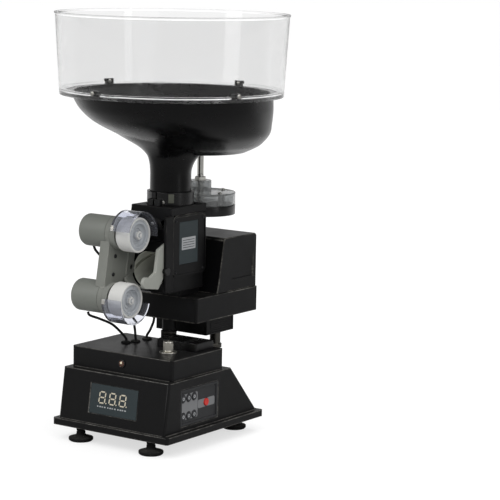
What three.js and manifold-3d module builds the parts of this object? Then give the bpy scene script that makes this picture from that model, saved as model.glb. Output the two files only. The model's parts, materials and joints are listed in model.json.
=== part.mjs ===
// Table tennis robot, in millimetres.
// X runs to the robot's right (the keypad side), the ball leaves towards -Y, Z is up.
// The origin lies on the floor, on the swivel axis, which is also the axis of the tube and of the hopper.

import * as THREE from 'three';
import { mergeVertices } from 'three/addons/utils/BufferGeometryUtils.js';
import Module from 'manifold-3d';

const wasm = await Module();
wasm.setup();

// General allowances
const gap = 0.3;
const overrun = 1;
const weld = 0.0001;

// Facet counts
const rimSides = 48;
const bowlSides = 36;
const roundSides = 24;
const midSides = 20;
const smallSides = 12;
const tinySides = 8;
const cornerSteps = 2;
const leadSides = 8;

// Base: an upper box on a spreading skirt with a flat flange; Y is measured from the flange's middle here
const box = { halfWidth: 74, front: -73.6, rear: 26.7, top: 109.8, corner: 4 };
const skirt = {
  halfWidth: 78.2, frontTop: -83.6, frontFoot: -92.5, rearTop: 37.2, rearFoot: 91, top: 85.4, foot: 25.4,
  corner: 3,
};
const flange = { halfWidth: 85, halfDepth: 95.9, bottom: 17.2, corner: 4 };
const shellWall = 3;
const cover = {
  halfWidth: 72, front: -72, rear: 70, thick: 2, ledge: 4, post: 3, postHeight: 10, postInset: 20,
};
const board = { halfWidth: 58, front: -58, rear: 56, thick: 1.6 };
const foot = {
  x: 52, frontY: -82.8, rearY: 81.5, radius: 14.5, disc: 4.2, rim: 1.6, stem: 5.3, neck: 7.5, neckTop: 6.6,
  peg: 3, pegHeight: 5,
};
const display = { left: -34, right: 35, low: 38, high: 72, thick: 1.6, pocket: 2 };
const keypad = {
  front: -62, rear: 10.3, low: 31.5, high: 74, plate: 1.8, sunk: 1.4, frame: 2.6, post: 2.5,
  postLength: 3.2,
  postInset: 3.4, board: 1.6,
};
const key = {
  radius: 4.3, proud: 1.5, collar: 0.75, collarThick: 1.3, stub: 1.8, stubLength: 0.8, dish: 0.5,
  firstY: -55.8, pitchY: 10.5, highZ: 63.3, lowZ: 42.3, stopY: -11.2, stopZ: 52.5,
};
const sensor = { x: 1, z: 97.6, radius: 3.2, bezel: 4.6, proud: 1.2, dome: 1.8 };
const inlet = {
  x: -46, share: 0.45, radius: 5.4, flange: 7.6, flangeThick: 1.4, bore: 3.1, depth: 9, pin: 1,
};
const grommet = {
  radius: 6, height: 2.2, neck: 3.7, bore: 1.8, lip: 4.8, lipThick: 1.5, frontX: -34, frontY: -22,
  middleX: -29,
  middleY: -10, rearX: -28, rearY: 11,
};
const grommetPlaces = [
  [grommet.frontX, grommet.frontY], [grommet.middleX, grommet.middleY], [grommet.rearX, grommet.rearY],
];
const knob = {
  x: 41, y: -38, radius: 6, height: 12, shaft: 3, shaftLength: 10, washer: 10.4, washerThick: 2, bevel: 0.8,
};

// Swivel: a post in the base carries the turret, and a crank pin works in a slotted arm
const swivelY = 17;
const post = { radius: 3.5, low: 98, collar: 6, nut: 5, nutThick: 4, head: 7 };
const pivotBlock = {
  left: 6.6, right: 64.5, front: -15.2, rear: 20, height: 9.6, boss: 9.5, rib: 3, ribShares: [0.3, 0.7],
  corner: 2,
};
const thrust = { radius: 9.5, thick: 3.6 };
const sleeve = { radius: 8, length: 14 };
const crank = {
  x: 30, y: 53, radius: 22, hub: 6.5, hubLength: 14, stub: 4, stubLength: 6, eye: 8, eyeTip: 5.4,
  eyeThick: 5, pin: 3,
  pinLength: 6,
};
const slot = {
  side: 0.9, inner: 38, outer: 44.4, rim: 4.6, under: 4.3, thick: 3.5, foot: 9.4, footLeft: -2,
  footRight: 34,
};

// Turret: Y is measured from the swivel axis here, and each height is counted up from the piece below it
const tray = {
  halfWidth: 46.5, front: -8, rear: 117.5, bottom: 138, height: 29.5, wall: 2.5, corner: 3, floor: 3,
};
const trayTop = tray.bottom + tray.height;
const gearbox = { halfWidth: 37.9, front: 23.7, rear: 80.8, depth: 20, corner: 2, inset: 4, relief: 0.8 };
const gearboxLow = tray.bottom - gearbox.depth;
const rearCover = {
  halfWidth: 45.5, topFront: 47.4, kneeFront: 37.4, footFront: 34, rear: 114.7, height: 65.9, knee: 10.5,
  wall: 2.5,
  edge: 2.5, reliefFront: 64, reliefRear: 108, reliefLift: 14.5, reliefHeight: 23, relief: 1,
};
const rearCoverTop = trayTop + rearCover.height;
const column = {
  halfWidth: 26, front: -36.2, rear: 31.2, foot: 7.5, coverLift: 19, coverHeight: 73, plate: 9.4,
  footHalf: 22,
  footFront: -7.6, footRear: 29, coverOut: 30, bore: 22.3,
};
const columnLow = trayTop + column.foot;
const coverLow = columnLow + column.coverLift;
const plateLow = coverLow + column.coverHeight;
const columnTop = plateLow + column.plate;
const arch = {
  x: 3, drop: 16.5, radius: 12.5, proud: 2.6, recessLeft: -9, recessRight: 17, recessDrop: 31, recess: 3,
};
const ear = { inner: 27.3, outer: 30.8, front: -47.8, rear: -33.3, lift: 3 };
const labelPlate = { front: -20, rear: 16, sill: 14, head: 9, thick: 0.9, pocket: 1.2 };
const sideCover = { gapFront: 0.4, corner: 7, border: 2.4, relief: 0.7 };
const collar = { radius: 28, height: 15.5, lug: 5, lugWidth: 9, slit: 2, sleeve: 0.3 };

// Stirrer drive behind the column, with the case's flat against it
const gearCase = {
  behind: 8, drop: 18.4, height: 12, lidHeight: 14.5, wall: 2.5, lidWall: 2, floor: 3, tower: 13.5,
  towerHeight: 14.5,
  play: 1.15, room: 3.65, screwInset: 8.56, screwAngles: [-13.75, 206.1, 74],
};
const gear = {
  diameterPerTooth: 1, teeth: 46, pinionTeeth: 12, pressureAngle: 25, addendumShare: 0.85, dedendumShare: 1.2,
  play: 0.3,
  lift: 11, thick: 5.5, hub: 9, hubLift: 3.4, pinionX: -18,
};
const gearTip = (gear.diameterPerTooth * gear.teeth) / 2 + gear.addendumShare * gear.diameterPerTooth;
const caseFlat = column.rear + gap;
const stirrerY = caseFlat + gearCase.wall + gearCase.play + gearTip;
const caseY = stirrerY + gearCase.behind;
const caseRadius = gearCase.behind + gearTip + gearCase.wall + gearCase.room;
const caseBottom = columnTop - gearCase.drop;
const caseSplit = caseBottom + gearCase.height;
const caseTop = caseSplit + gearCase.lidHeight;
const towerTop = caseTop + gearCase.towerHeight;
const gearLow = caseBottom + gear.lift;
const stirrer = { radius: 4, lift: 1.4, reach: 18, play: 0.4, boss: 7 };
const pinion = { extra: 1, shaft: 3, hub: 4.2, hubRise: 0.9 };
const feedMotor = { halfWidth: 14, lift: 10.5, headroom: 6.9, corner: 3, boss: 8 };
const feedMotorTop = rearCoverTop - rearCover.wall - feedMotor.headroom;
const lidScrewRadius = 1.8;

// Hopper: circles of the outer skin, first the dish's, which leans back to the stirrer, then the throat's.
// In the dish, x and radius are shares of the flange's radius, and y is one of the stirrer's distance.
// Heights are shares of the rise.
// In the throat, y and radius are shares of how far the flange stands outside the tube.
const hopper = { wall: 3, flangeRadius: 128.4, flangeThick: 3, rise: 132.4, tube: 24.5, bore: 22.3 };
const hopperTop = columnTop + hopper.rise;
const dishShares = [
  { x: 0, y: 0.0169, radius: 0.9229, z: 0.9789 },
  { x: 0.0078, y: 0.0678, radius: 0.9073, z: 0.9033 },
  { x: 0.0234, y: 0.1186, radius: 0.8816, z: 0.8278 },
  { x: 0.0467, y: 0.2373, radius: 0.8224, z: 0.7296 },
  { x: 0.0779, y: 0.4576, radius: 0.7212, z: 0.6269 },
  { x: 0.0623, y: 0.7288, radius: 0.588, z: 0.5257 },
  { x: 0.0389, y: 0.8475, radius: 0.5062, z: 0.4789 },
  { x: 0.0156, y: 0.8644, radius: 0.4439, z: 0.4426 },
];
const throatShares = [
  { y: 0.1155, radius: 0.5727, z: 0.6692 },
  { y: 0.0962, radius: 0.3609, z: 0.5785 },
  { y: 0.0577, radius: 0.1684, z: 0.503 },
  { y: 0.0481, radius: 0.0722, z: 0.435 },
  { y: 0.0192, radius: 0.0241, z: 0.3746 },
  { y: 0, radius: 0, z: 0.2915 },
];
const dishRows = dishShares.map(({ x, y, radius, z }) => ({
  x: x * hopper.flangeRadius, y: y * stirrerY, radius: radius * hopper.flangeRadius,
  z: columnTop + z * hopper.rise,
}));
const outsideTube = hopper.flangeRadius - hopper.tube;
const throatRows = throatShares.map(({ y, radius, z }) => ({
  x: 0, y: y * outsideTube, radius: hopper.tube + radius * outsideTube, z: columnTop + z * hopper.rise,
}));
const hopperFloor = dishRows.at(-1).z;
const ring = {
  drop: 4.2, height: 95.6, skirt: 3, flare: 5.6, wall: 2.4, ledge: 4, ledgeThick: 2.4, lip: 1, lipHeight: 3,
};
const tab = { inner: 3, width: 12, height: 6, screwUp: 3.2 };
const ringScrewRadius = 1.6;
const ringScrewAngles = [-18.5, 86.5, 164.5, 265];
const fullTurn = 360;
const wheel = {
  hub: 10, reachShare: 0.8421, armWidth: 7, lift: 4.4, thick: 7, hubHeight: 11.6, sweepAngle: 16,
  armCount: 3,
};

// Shooting head: Y runs against the ball's way and Z across it, both from the tilt axis
const tilt = { y: -46, rise: 28.3, liftAngle: 10.3, pin: 3, boss: 8, pinHead: 4.6, pinHeadThick: 1.6 };
const tiltZ = columnLow + tilt.rise;
const nip = { y: -32.2, halfHeight: 38.16 };
const roller = {
  radius: 20.5, bore: 18, halfWidth: 10, edge: 1, hubFace: 9, recess: 4.2, recessOut: 13.2, recessIn: 5.4,
};
const shaft = { radius: 2.5, left: -37, right: 11.4, nut: 3.8, nutLeft: 5.4, nutRight: 9.4 };
const motor = {
  radius: 19, left: -67.5, edge: 3, boss: 8, bossRight: 4, bore: 2.9, boreDepth: 12, chamferShare: 0.3,
};
const wall = {
  inner: 22.7, thick: 4.3, left: 20.6, pad: 19.3, front: -47.6, half: 21, rear: 3, rearHigh: 32, rearLow: -9,
  waistLow: -19, collar: 19, collarRight: 13.1,
  flangeOut: 34.2, flangeThick: 3.6, flangeHalf: 27, ribY: -9, ribThick: 2, rib: 1.1, ribLow: -9, ribHigh: 20,
};
const cheek = {
  topRear: 34, topFront: 24, frontY: -15.5, topY: 0.4, throatZ: -2, noseTopY: -24, noseTopZ: -8.5,
  noseY: -30.5,
  noseZ: -15.6, noseRadius: 6.6, heelY: -7, heelZ: -21.7, rearZ: -8,
};
const trough = { bore: 21.5, skin: 2.6, front: -15.5, rear: 2, frontLip: -14, rearLip: -5 };
const guard = { radius: 27.7, wall: 2, right: 15.3, inner: 13, edge: 1.2 };
const wallScrew = { radius: 1.8, y: -34, halfPitch: 10.7 };

// Leads from the motors and from the turret down to the base; the shares are of the way from a lead's start to
// its grommet, along each axis
const lead = { radius: 1.5, stepShare: 5, above: 5.2, below: 5.8 };
const lowerLeadStart = { x: -54, y: -68.9, z: 151.6 };
const upperLeadStart = { x: -61, y: -50.4, z: 227.2 };
const turretLeadStart = { x: -20, y: 14 };
const leadShares = {
  lower: [[0.1, 0.0192, 0.112], [0.465, 0.2324, 0.2486], [0.73, 0.5736, 0.4672], [0.87, 0.8507, 0.765]],
  upper: [
    [0.05, 0.0495, 0.0553], [0.25, 0.2574, 0.1622], [0.5312, 0.4307, 0.3316], [0.75, 0.5792, 0.5544],
    [0.9688, 0.901, 0.8128],
  ],
  turret: [[0.0625, 0.1333, 0.2511], [0.5, 0.6667, 0.6916]],
};

// Materials
const plastic = (color, roughness) => new THREE.MeshStandardMaterial({ color, roughness, metalness: 0 });
const metal = (color, roughness) => new THREE.MeshStandardMaterial({ color, roughness, metalness: 1 });
const clear = (color, opacity) =>
  new THREE.MeshStandardMaterial({ color, roughness: 0.08, metalness: 0, transparent: true, opacity });
const blackShell = plastic(0x1b1b1c, 0.35);
const blackGloss = plastic(0x141415, 0.22);
const blackMatt = plastic(0x202021, 0.55);
const greyCast = plastic(0x80837d, 0.5);
const greyBlue = plastic(0x3a4444, 0.45);
const panelGrey = plastic(0x8b8b8c, 0.5);
const keyDark = plastic(0x47474a, 0.45);
const stopRed = plastic(0xd6342c, 0.4);
const tyreWhite = plastic(0xdadad8, 0.45);
const rubberBlack = plastic(0x0c0c0c, 0.85);
const boardGreen = plastic(0x1f4a34, 0.5);
const clearSheet = clear(0xeef2f4, 0.3);
const clearHub = clear(0xc9cdce, 0.6);
const silver = metal(0xc9c7c0, 0.3);
const chrome = metal(0xb9b9b6, 0.15);
const brass = metal(0xb08d46, 0.35);

const { degToRad } = THREE.MathUtils;

// Turns a closed geometry into a solid that can be joined and cut
function solidOf(geometry) {
  const bare = geometry.clone();
  bare.deleteAttribute('normal');
  bare.deleteAttribute('uv');
  const merged = mergeVertices(bare, weld);
  return new wasm.Manifold(new wasm.Mesh({
    numProp: 3,
    vertProperties: new Float32Array(merged.attributes.position.array),
    triVerts: new Uint32Array(merged.index.array),
  }));
}

function join(...solids) {
  return solids.reduce((whole, next) => whole.add(next));
}

function cut(solid, ...tools) {
  return tools.reduce((left, tool) => left.subtract(tool), solid);
}

function geometryOf(solid) {
  const mesh = solid.getMesh();
  const geometry = new THREE.BufferGeometry();
  geometry.setAttribute('position', new THREE.BufferAttribute(mesh.vertProperties.slice(), 3));
  geometry.setIndex(new THREE.BufferAttribute(mesh.triVerts.slice(), 1));
  const flat = geometry.toNonIndexed();
  flat.computeVertexNormals();
  return flat;
}

// A plain block between two values on each axis
function block(x0, x1, y0, y1, z0, z1) {
  const geometry = new THREE.BoxGeometry(x1 - x0, y1 - y0, z1 - z0);
  return solidOf(geometry.translate((x0 + x1) / 2, (y0 + y1) / 2, (z0 + z1) / 2));
}

function rodZ(radius, z0, z1, x = 0, y = 0, sides = roundSides) {
  const geometry = new THREE.CylinderGeometry(radius, radius, z1 - z0, sides);
  return solidOf(geometry.rotateX(Math.PI / 2).translate(x, y, (z0 + z1) / 2));
}

function rodX(radius, x0, x1, y = 0, z = 0, sides = roundSides) {
  const geometry = new THREE.CylinderGeometry(radius, radius, x1 - x0, sides);
  return solidOf(geometry.rotateZ(Math.PI / 2).translate((x0 + x1) / 2, y, z));
}

function rodY(radius, y0, y1, x = 0, z = 0, sides = roundSides) {
  const geometry = new THREE.CylinderGeometry(radius, radius, y1 - y0, sides);
  return solidOf(geometry.translate(x, (y0 + y1) / 2, z));
}

// Extrusions of an outline: drawn in X and Y, in Y and Z, or in X and Z
function prismZ(shape, z0, z1, steps = cornerSteps) {
  const geometry = new THREE.ExtrudeGeometry(
    shape, { depth: z1 - z0, bevelEnabled: false, curveSegments: steps });
  return solidOf(geometry.translate(0, 0, z0));
}

function prismX(shape, x0, x1, steps = cornerSteps) {
  const geometry = new THREE.ExtrudeGeometry(
    shape, { depth: x1 - x0, bevelEnabled: false, curveSegments: steps });
  const turn = new THREE.Matrix4().makeBasis(
    new THREE.Vector3(0, 1, 0), new THREE.Vector3(0, 0, 1), new THREE.Vector3(1, 0, 0));
  return solidOf(geometry.applyMatrix4(turn).translate(x0, 0, 0));
}

function prismY(shape, y0, y1, steps = cornerSteps) {
  const geometry = new THREE.ExtrudeGeometry(
    shape, { depth: y1 - y0, bevelEnabled: false, curveSegments: steps });
  const turn = new THREE.Matrix4().makeBasis(
    new THREE.Vector3(1, 0, 0), new THREE.Vector3(0, 0, 1), new THREE.Vector3(0, -1, 0));
  return solidOf(geometry.applyMatrix4(turn).translate(0, y1, 0));
}

// A profile of [radius, height] pairs turned about Z
function turned(profile, sides = roundSides) {
  const points = profile.map(([radius, height]) => new THREE.Vector2(radius, height));
  const lathe = new THREE.LatheGeometry(points, sides);
  return solidOf(lathe.rotateX(Math.PI / 2));
}

// A rectangle with round corners
function roundedRect(x0, x1, y0, y1, radius) {
  const shape = new THREE.Shape();
  shape.moveTo(x0 + radius, y0);
  shape.lineTo(x1 - radius, y0);
  shape.absarc(x1 - radius, y0 + radius, radius, -Math.PI / 2, 0);
  shape.lineTo(x1, y1 - radius);
  shape.absarc(x1 - radius, y1 - radius, radius, 0, Math.PI / 2);
  shape.lineTo(x0 + radius, y1);
  shape.absarc(x0 + radius, y1 - radius, radius, Math.PI / 2, Math.PI);
  shape.lineTo(x0, y0 + radius);
  shape.absarc(x0 + radius, y0 + radius, radius, Math.PI, Math.PI * 1.5);
  return shape;
}

function outline(points) {
  return new THREE.Shape(points.map(([x, y]) => new THREE.Vector2(x, y)));
}

// The outline round two circles of different size
function linkShape(x0, y0, r0, x1, y1, r1) {
  const along = Math.atan2(y1 - y0, x1 - x0);
  const spread = Math.acos((r0 - r1) / Math.hypot(x1 - x0, y1 - y0));
  const shape = new THREE.Shape();
  shape.absarc(x0, y0, r0, along + spread, along - spread + Math.PI * 2);
  shape.absarc(x1, y1, r1, along - spread, along + spread);
  return shape;
}

// A closed skin through rings of points, all with the same count, with flat ends
function loft(rings) {
  const count = rings[0].length;
  const points = rings.flat();
  const faces = [];
  for (let row = 0; row + 1 < rings.length; row += 1) {
    for (let i = 0; i < count; i += 1) {
      const next = (i + 1) % count;
      const a = row * count + i;
      const b = row * count + next;
      faces.push(a, b, b + count, a, b + count, a + count);
    }
  }
  const last = (rings.length - 1) * count;
  for (let i = 1; i + 1 < count; i += 1) {
    faces.push(0, i + 1, i, last, last + i, last + i + 1);
  }
  const geometry = new THREE.BufferGeometry().setFromPoints(points);
  geometry.setIndex(faces);
  return solidOf(geometry);
}

function circleRing(row, inset, sides = bowlSides) {
  return Array.from({ length: sides }, (_, i) => {
    const angle = (Math.PI * 2 * i) / sides;
    const radius = row.radius - inset;
    return new THREE.Vector3(row.x + radius * Math.cos(angle), row.y + radius * Math.sin(angle), row.z);
  });
}

function rectRing(halfWidth, y0, y1, z, radius) {
  const corners = roundedRect(-halfWidth, halfWidth, y0, y1, radius).getPoints(cornerSteps);
  return corners.slice(0, -1).map((point) => new THREE.Vector3(point.x, point.y, z));
}

// One involute gear, standing on its side face at height 0
function gearSolid(teeth, thick, turn, bore) {
  const pressure = degToRad(gear.pressureAngle);
  const pitch = (gear.diameterPerTooth * teeth) / 2;
  const baseRadius = pitch * Math.cos(pressure);
  const tip = pitch + gear.addendumShare * gear.diameterPerTooth;
  const root = pitch - gear.dedendumShare * gear.diameterPerTooth;
  const involute = (angle) => Math.tan(angle) - angle;
  const halfTooth = Math.PI / 2 / teeth - gear.play / 2 / pitch + involute(pressure);
  const radii = root < baseRadius ? [root, baseRadius, pitch, tip] : [root, pitch, tip];
  const flank = radii.map((radius) => {
    const lean = radius > baseRadius ? involute(Math.acos(baseRadius / radius)) : 0;
    return [radius, halfTooth - lean];
  });
  const points = [];
  for (let tooth = 0; tooth < teeth; tooth += 1) {
    const middle = (Math.PI * 2 * tooth) / teeth + turn;
    const corners = [
      ...flank.map(([radius, half]) => [radius, middle - half]),
      ...flank.slice().reverse().map(([radius, half]) => [radius, middle + half]),
    ];
    corners.forEach(([radius, angle]) => points.push([radius * Math.cos(angle), radius * Math.sin(angle)]));
  }
  return cut(prismZ(outline(points), 0, thick), rodZ(bore, -overrun, thick + overrun));
}

// A lead through hand-picked points
function leadSolid(places) {
  const path = new THREE.CatmullRomCurve3(places.map((place) => new THREE.Vector3(...place)));
  const section = new THREE.Shape();
  for (let i = 0; i < leadSides; i += 1) {
    const angle = (Math.PI * 2 * i) / leadSides;
    const spot = [lead.radius * Math.cos(angle), lead.radius * Math.sin(angle)];
    if (i === 0) section.moveTo(...spot);
    else section.lineTo(...spot);
  }
  const steps = Math.round(path.getLength() / (lead.radius * lead.stepShare));
  return solidOf(new THREE.ExtrudeGeometry(section, { steps, extrudePath: path, bevelEnabled: false }));
}

function place(group, name, solid, material, position = [0, 0, 0]) {
  const mesh = new THREE.Mesh(geometryOf(solid), material);
  mesh.name = name;
  mesh.position.set(...position);
  group.add(mesh);
  return mesh;
}

const robot = new THREE.Group();
const base = new THREE.Group();
base.position.set(0, -swivelY, 0);
robot.add(base);
const turret = new THREE.Group();
const head = new THREE.Group();
head.position.set(0, tilt.y, tiltZ);
head.rotation.x = degToRad(-tilt.liftAngle);
turret.add(head);
robot.add(turret);

// Frame of the sloping front wall: its Z runs up the wall and its -Y points out
const frontSlope = Math.atan2(skirt.frontTop - skirt.frontFoot, skirt.top - skirt.foot);
const frontFrame = new THREE.Group();
frontFrame.position.set(0, (skirt.frontTop + skirt.frontFoot) / 2, (skirt.top + skirt.foot) / 2);
frontFrame.rotation.x = -frontSlope;
base.add(frontFrame);

// Frame of the sloping rear wall: its Z points out of the wall
const rearSlope = Math.atan2(skirt.rearFoot - skirt.rearTop, skirt.top - skirt.foot);
const rearFrame = new THREE.Group();
rearFrame.position.set(
  inlet.x,
  skirt.rearFoot + (skirt.rearTop - skirt.rearFoot) * inlet.share,
  skirt.foot + (skirt.top - skirt.foot) * inlet.share,
);
rearFrame.rotation.x = rearSlope - Math.PI / 2;
base.add(rearFrame);

function inFrame(frame, solid) {
  frame.updateMatrix();
  const geometry = geometryOf(solid).applyMatrix4(frame.matrix);
  return solidOf(geometry);
}

// Where the seven keys sit on the side wall
const keyPlaces = [0, 1, 2].flatMap((i) => [
  { name: `key_top_${i + 1}`, y: key.firstY + key.pitchY * i, z: key.highZ },
  { name: `key_low_${i + 1}`, y: key.firstY + key.pitchY * i, z: key.lowZ },
]);
keyPlaces.push({ name: 'stop_key', y: key.stopY, z: key.stopZ });
const panelFace = skirt.halfWidth - keypad.sunk;
const panelBack = panelFace - keypad.plate;
const keyBoardFace = panelBack - keypad.postLength - gap;

function buildBase() {
  const slopeDepth = (y0, y1) => (y1 - y0) / (skirt.top - skirt.foot);
  const innerTop = skirt.top - shellWall;
  const frontInner = skirt.frontTop + shellWall - slopeDepth(skirt.frontFoot, skirt.frontTop) * shellWall;
  const rearWall = shellWall / Math.cos(rearSlope);
  const rearInner = skirt.rearTop - rearWall + slopeDepth(skirt.rearTop, skirt.rearFoot) * shellWall;
  const outer = join(
    prismZ(
      roundedRect(-box.halfWidth, box.halfWidth, box.front, box.rear, box.corner), skirt.top - shellWall,
      box.top),
    loft([
      rectRing(skirt.halfWidth, skirt.frontFoot, skirt.rearFoot, skirt.foot - overrun, skirt.corner),
      rectRing(skirt.halfWidth, skirt.frontFoot, skirt.rearFoot, skirt.foot, skirt.corner),
      rectRing(skirt.halfWidth, skirt.frontTop, skirt.rearTop, skirt.top, skirt.corner),
    ]),
    prismZ(
      roundedRect(-flange.halfWidth, flange.halfWidth, -flange.halfDepth, flange.halfDepth, flange.corner),
      flange.bottom, skirt.foot),
  );
  const inner = join(
    prismZ(
      roundedRect(
        -box.halfWidth + shellWall, box.halfWidth - shellWall, box.front + shellWall, box.rear - shellWall,
        box.corner / 2),
      innerTop - overrun, box.top - shellWall),
    loft([
      rectRing(
        skirt.halfWidth - shellWall, skirt.frontFoot + shellWall, skirt.rearFoot - rearWall,
        skirt.foot, skirt.corner / 2),
      rectRing(skirt.halfWidth - shellWall, frontInner, rearInner, innerTop, skirt.corner / 2),
    ]),
    block(
      -cover.halfWidth + cover.ledge, cover.halfWidth - cover.ledge, cover.front + cover.ledge,
      cover.rear - cover.ledge, flange.bottom - overrun, skirt.foot + overrun),
    block(
      -cover.halfWidth - gap, cover.halfWidth + gap, cover.front - gap, cover.rear + gap,
      flange.bottom - overrun,
      flange.bottom + cover.thick + gap),
  );
  const footHoles = footPlaces().map(([x, y]) =>
    rodZ(foot.peg + gap, flange.bottom - overrun, flange.bottom + foot.pegHeight + gap, x, y, smallSides));
  const grommetHoles = grommetPlaces.map(([x, y]) =>
    rodZ(grommet.neck + gap, box.top - shellWall - overrun, box.top + overrun, x, y, smallSides));
  const displayPocket = inFrame(frontFrame, displayBlock(gap, display.pocket));
  const window = block(
    skirt.halfWidth - shellWall - overrun, skirt.halfWidth + overrun, keypad.front - gap, keypad.rear + gap,
    keypad.low - gap, keypad.high + gap);
  const inletHole = inFrame(rearFrame, rodZ(inlet.radius + gap, -inlet.depth, inlet.depth));
  const body = cut(
    outer, inner, ...footHoles, ...grommetHoles, displayPocket, window, inletHole,
    rodZ(knob.shaft + gap, box.top - shellWall - overrun, box.top + overrun, knob.x, knob.y, smallSides),
    rodZ(post.radius + gap, box.top - shellWall - overrun, box.top + overrun, 0, swivelY),
    rodY(
      sensor.radius + gap, box.front - overrun, box.front + shellWall + overrun, sensor.x, sensor.z,
      smallSides),
  );
  place(base, 'base_body', body, blackShell);
}

function footPlaces() {
  return [[-foot.x, foot.frontY], [foot.x, foot.frontY], [-foot.x, foot.rearY], [foot.x, foot.rearY]];
}

// The display's block in the frame of the front wall, grown by a clearance and sunk by a depth
function displayBlock(clearance, depth) {
  const middle = (skirt.top + skirt.foot) / 2;
  const stretch = 1 / Math.cos(frontSlope);
  return block(
    display.left - clearance, display.right + clearance, clearance > 0 ? -overrun : depth - display.thick,
    depth,
    (display.low - middle) * stretch - clearance, (display.high - middle) * stretch + clearance);
}

function buildBaseFittings() {
  const coverTop = flange.bottom + cover.thick;
  const postX = board.halfWidth - cover.post * 2;
  const postRows = [cover.front + cover.postInset, cover.rear - cover.postInset];
  const posts = [-postX, postX].flatMap((x) => postRows.map((y) =>
    rodZ(cover.post, coverTop - overrun, coverTop + cover.postHeight, x, y, smallSides)));
  place(base, 'bottom_cover', join(
    block(-cover.halfWidth, cover.halfWidth, cover.front, cover.rear, flange.bottom, coverTop), ...posts),
    blackMatt);
  const boardLow = coverTop + cover.postHeight + gap;
  place(base, 'circuit_board', block(
    -board.halfWidth, board.halfWidth, board.front, board.rear, boardLow,
    boardLow + board.thick), boardGreen);

  const profile = [
    [0, 0], [foot.radius - foot.rim, 0], [foot.radius, foot.rim], [foot.radius, foot.disc],
    [foot.neck, foot.neckTop], [foot.stem, foot.neckTop + foot.rim], [foot.stem, flange.bottom],
    [foot.peg, flange.bottom], [foot.peg, flange.bottom + foot.pegHeight],
    [0, flange.bottom + foot.pegHeight],
  ];
  footPlaces().forEach(([x, y], i) => {
    place(base, `rubber_foot_${i + 1}`, turned(profile, smallSides), rubberBlack, [x, y, 0]);
  });

  place(frontFrame, 'display_panel', displayBlock(0, display.pocket - gap), greyBlue);

  const lensProfile = [
    [0, -shellWall], [sensor.radius, -shellWall], [sensor.radius, 0], [sensor.bezel, gap],
    [sensor.bezel, sensor.proud], [sensor.radius, sensor.proud], [0, sensor.dome],
  ];
  const lens = place(
    base, 'sensor_lens', turned(lensProfile, smallSides), blackGloss, [sensor.x, box.front, sensor.z]);
  lens.rotation.x = Math.PI / 2;

  const socket = cut(
    join(
      rodZ(inlet.flange, gap, inlet.flangeThick + gap, 0, 0, smallSides),
      rodZ(inlet.radius, -inlet.depth, gap + overrun / 2, 0, 0, smallSides)),
    rodZ(inlet.bore, -inlet.depth + inlet.flangeThick, inlet.flangeThick + overrun, 0, 0, smallSides));
  place(rearFrame, 'dc_inlet', join(
    socket, rodZ(inlet.pin, -inlet.depth + inlet.pin, -inlet.pin, 0, 0, tinySides)), blackMatt);

  const ringProfile = [
    [grommet.bore, box.top - shellWall - grommet.lipThick],
    [grommet.lip, box.top - shellWall - grommet.lipThick],
    [grommet.lip, box.top - shellWall - gap], [grommet.neck, box.top - shellWall - gap],
    [grommet.neck, box.top],
    [grommet.radius, box.top], [grommet.radius - gap, box.top + grommet.height / 2],
    [grommet.neck, box.top + grommet.height], [grommet.bore, box.top + grommet.height],
    [grommet.bore, box.top - shellWall - grommet.lipThick],
  ];
  grommetPlaces.forEach(([x, y], i) => {
    place(base, `grommet_${i + 1}`, turned(ringProfile, smallSides), rubberBlack, [x, y, 0]);
  });

  const washer = cut(
    rodZ(knob.washer, 0, knob.washerThick),
    rodZ(knob.shaft + gap, -overrun, knob.washerThick + overrun, 0, 0, smallSides));
  place(base, 'knob_washer', washer, silver, [knob.x, knob.y, box.top]);
  const knobLow = knob.washerThick + gap;
  const knobProfile = [
    [0, -knob.shaftLength], [knob.shaft, -knob.shaftLength], [knob.shaft, knobLow], [knob.radius, knobLow],
    [knob.radius, knobLow + knob.height - knob.bevel], [knob.radius - knob.bevel, knobLow + knob.height],
    [0, knobLow + knob.height],
  ];
  place(base, 'speed_knob', turned(knobProfile, midSides), silver, [knob.x, knob.y, box.top]);
}

function buildKeypad() {
  const holes = keyPlaces.map(({ y, z }) =>
    rodX(key.radius + gap, panelBack - overrun, skirt.halfWidth + overrun, y, z, smallSides));
  const posts = [keypad.front + keypad.postInset, keypad.rear - keypad.postInset].flatMap((y) =>
    [keypad.low + keypad.postInset, keypad.high - keypad.postInset].map((z) =>
      rodX(keypad.post, panelBack - keypad.postLength, panelBack + overrun, y, z, tinySides)));
  const plate = cut(
    block(panelBack, skirt.halfWidth, keypad.front, keypad.rear, keypad.low, keypad.high),
    block(
      panelFace, skirt.halfWidth + overrun, keypad.front + keypad.frame, keypad.rear - keypad.frame,
      keypad.low + keypad.frame, keypad.high - keypad.frame));
  place(base, 'keypad_panel', join(cut(plate, ...holes), ...posts), panelGrey);
  place(base, 'key_board', block(
    keyBoardFace - keypad.board, keyBoardFace, keypad.front, keypad.rear, keypad.low,
    keypad.high), boardGreen);

  const collarBack = panelBack - gap - key.collarThick;
  const profile = [
    [0, collarBack - key.stubLength], [key.stub, collarBack - key.stubLength], [key.stub, collarBack],
    [key.radius + key.collar, collarBack], [key.radius + key.collar, panelBack - gap],
    [key.radius, panelBack - gap],
    [key.radius, panelFace + key.proud - key.dish], [key.radius - key.dish, panelFace + key.proud],
    [0, panelFace + key.proud - key.dish],
  ];
  keyPlaces.forEach(({ name, y, z }) => {
    const cap = place(
      base, name, turned(profile, smallSides), name === 'stop_key' ? stopRed : keyDark, [0, y, z]);
    cap.rotation.y = Math.PI / 2;
  });
}

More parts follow.
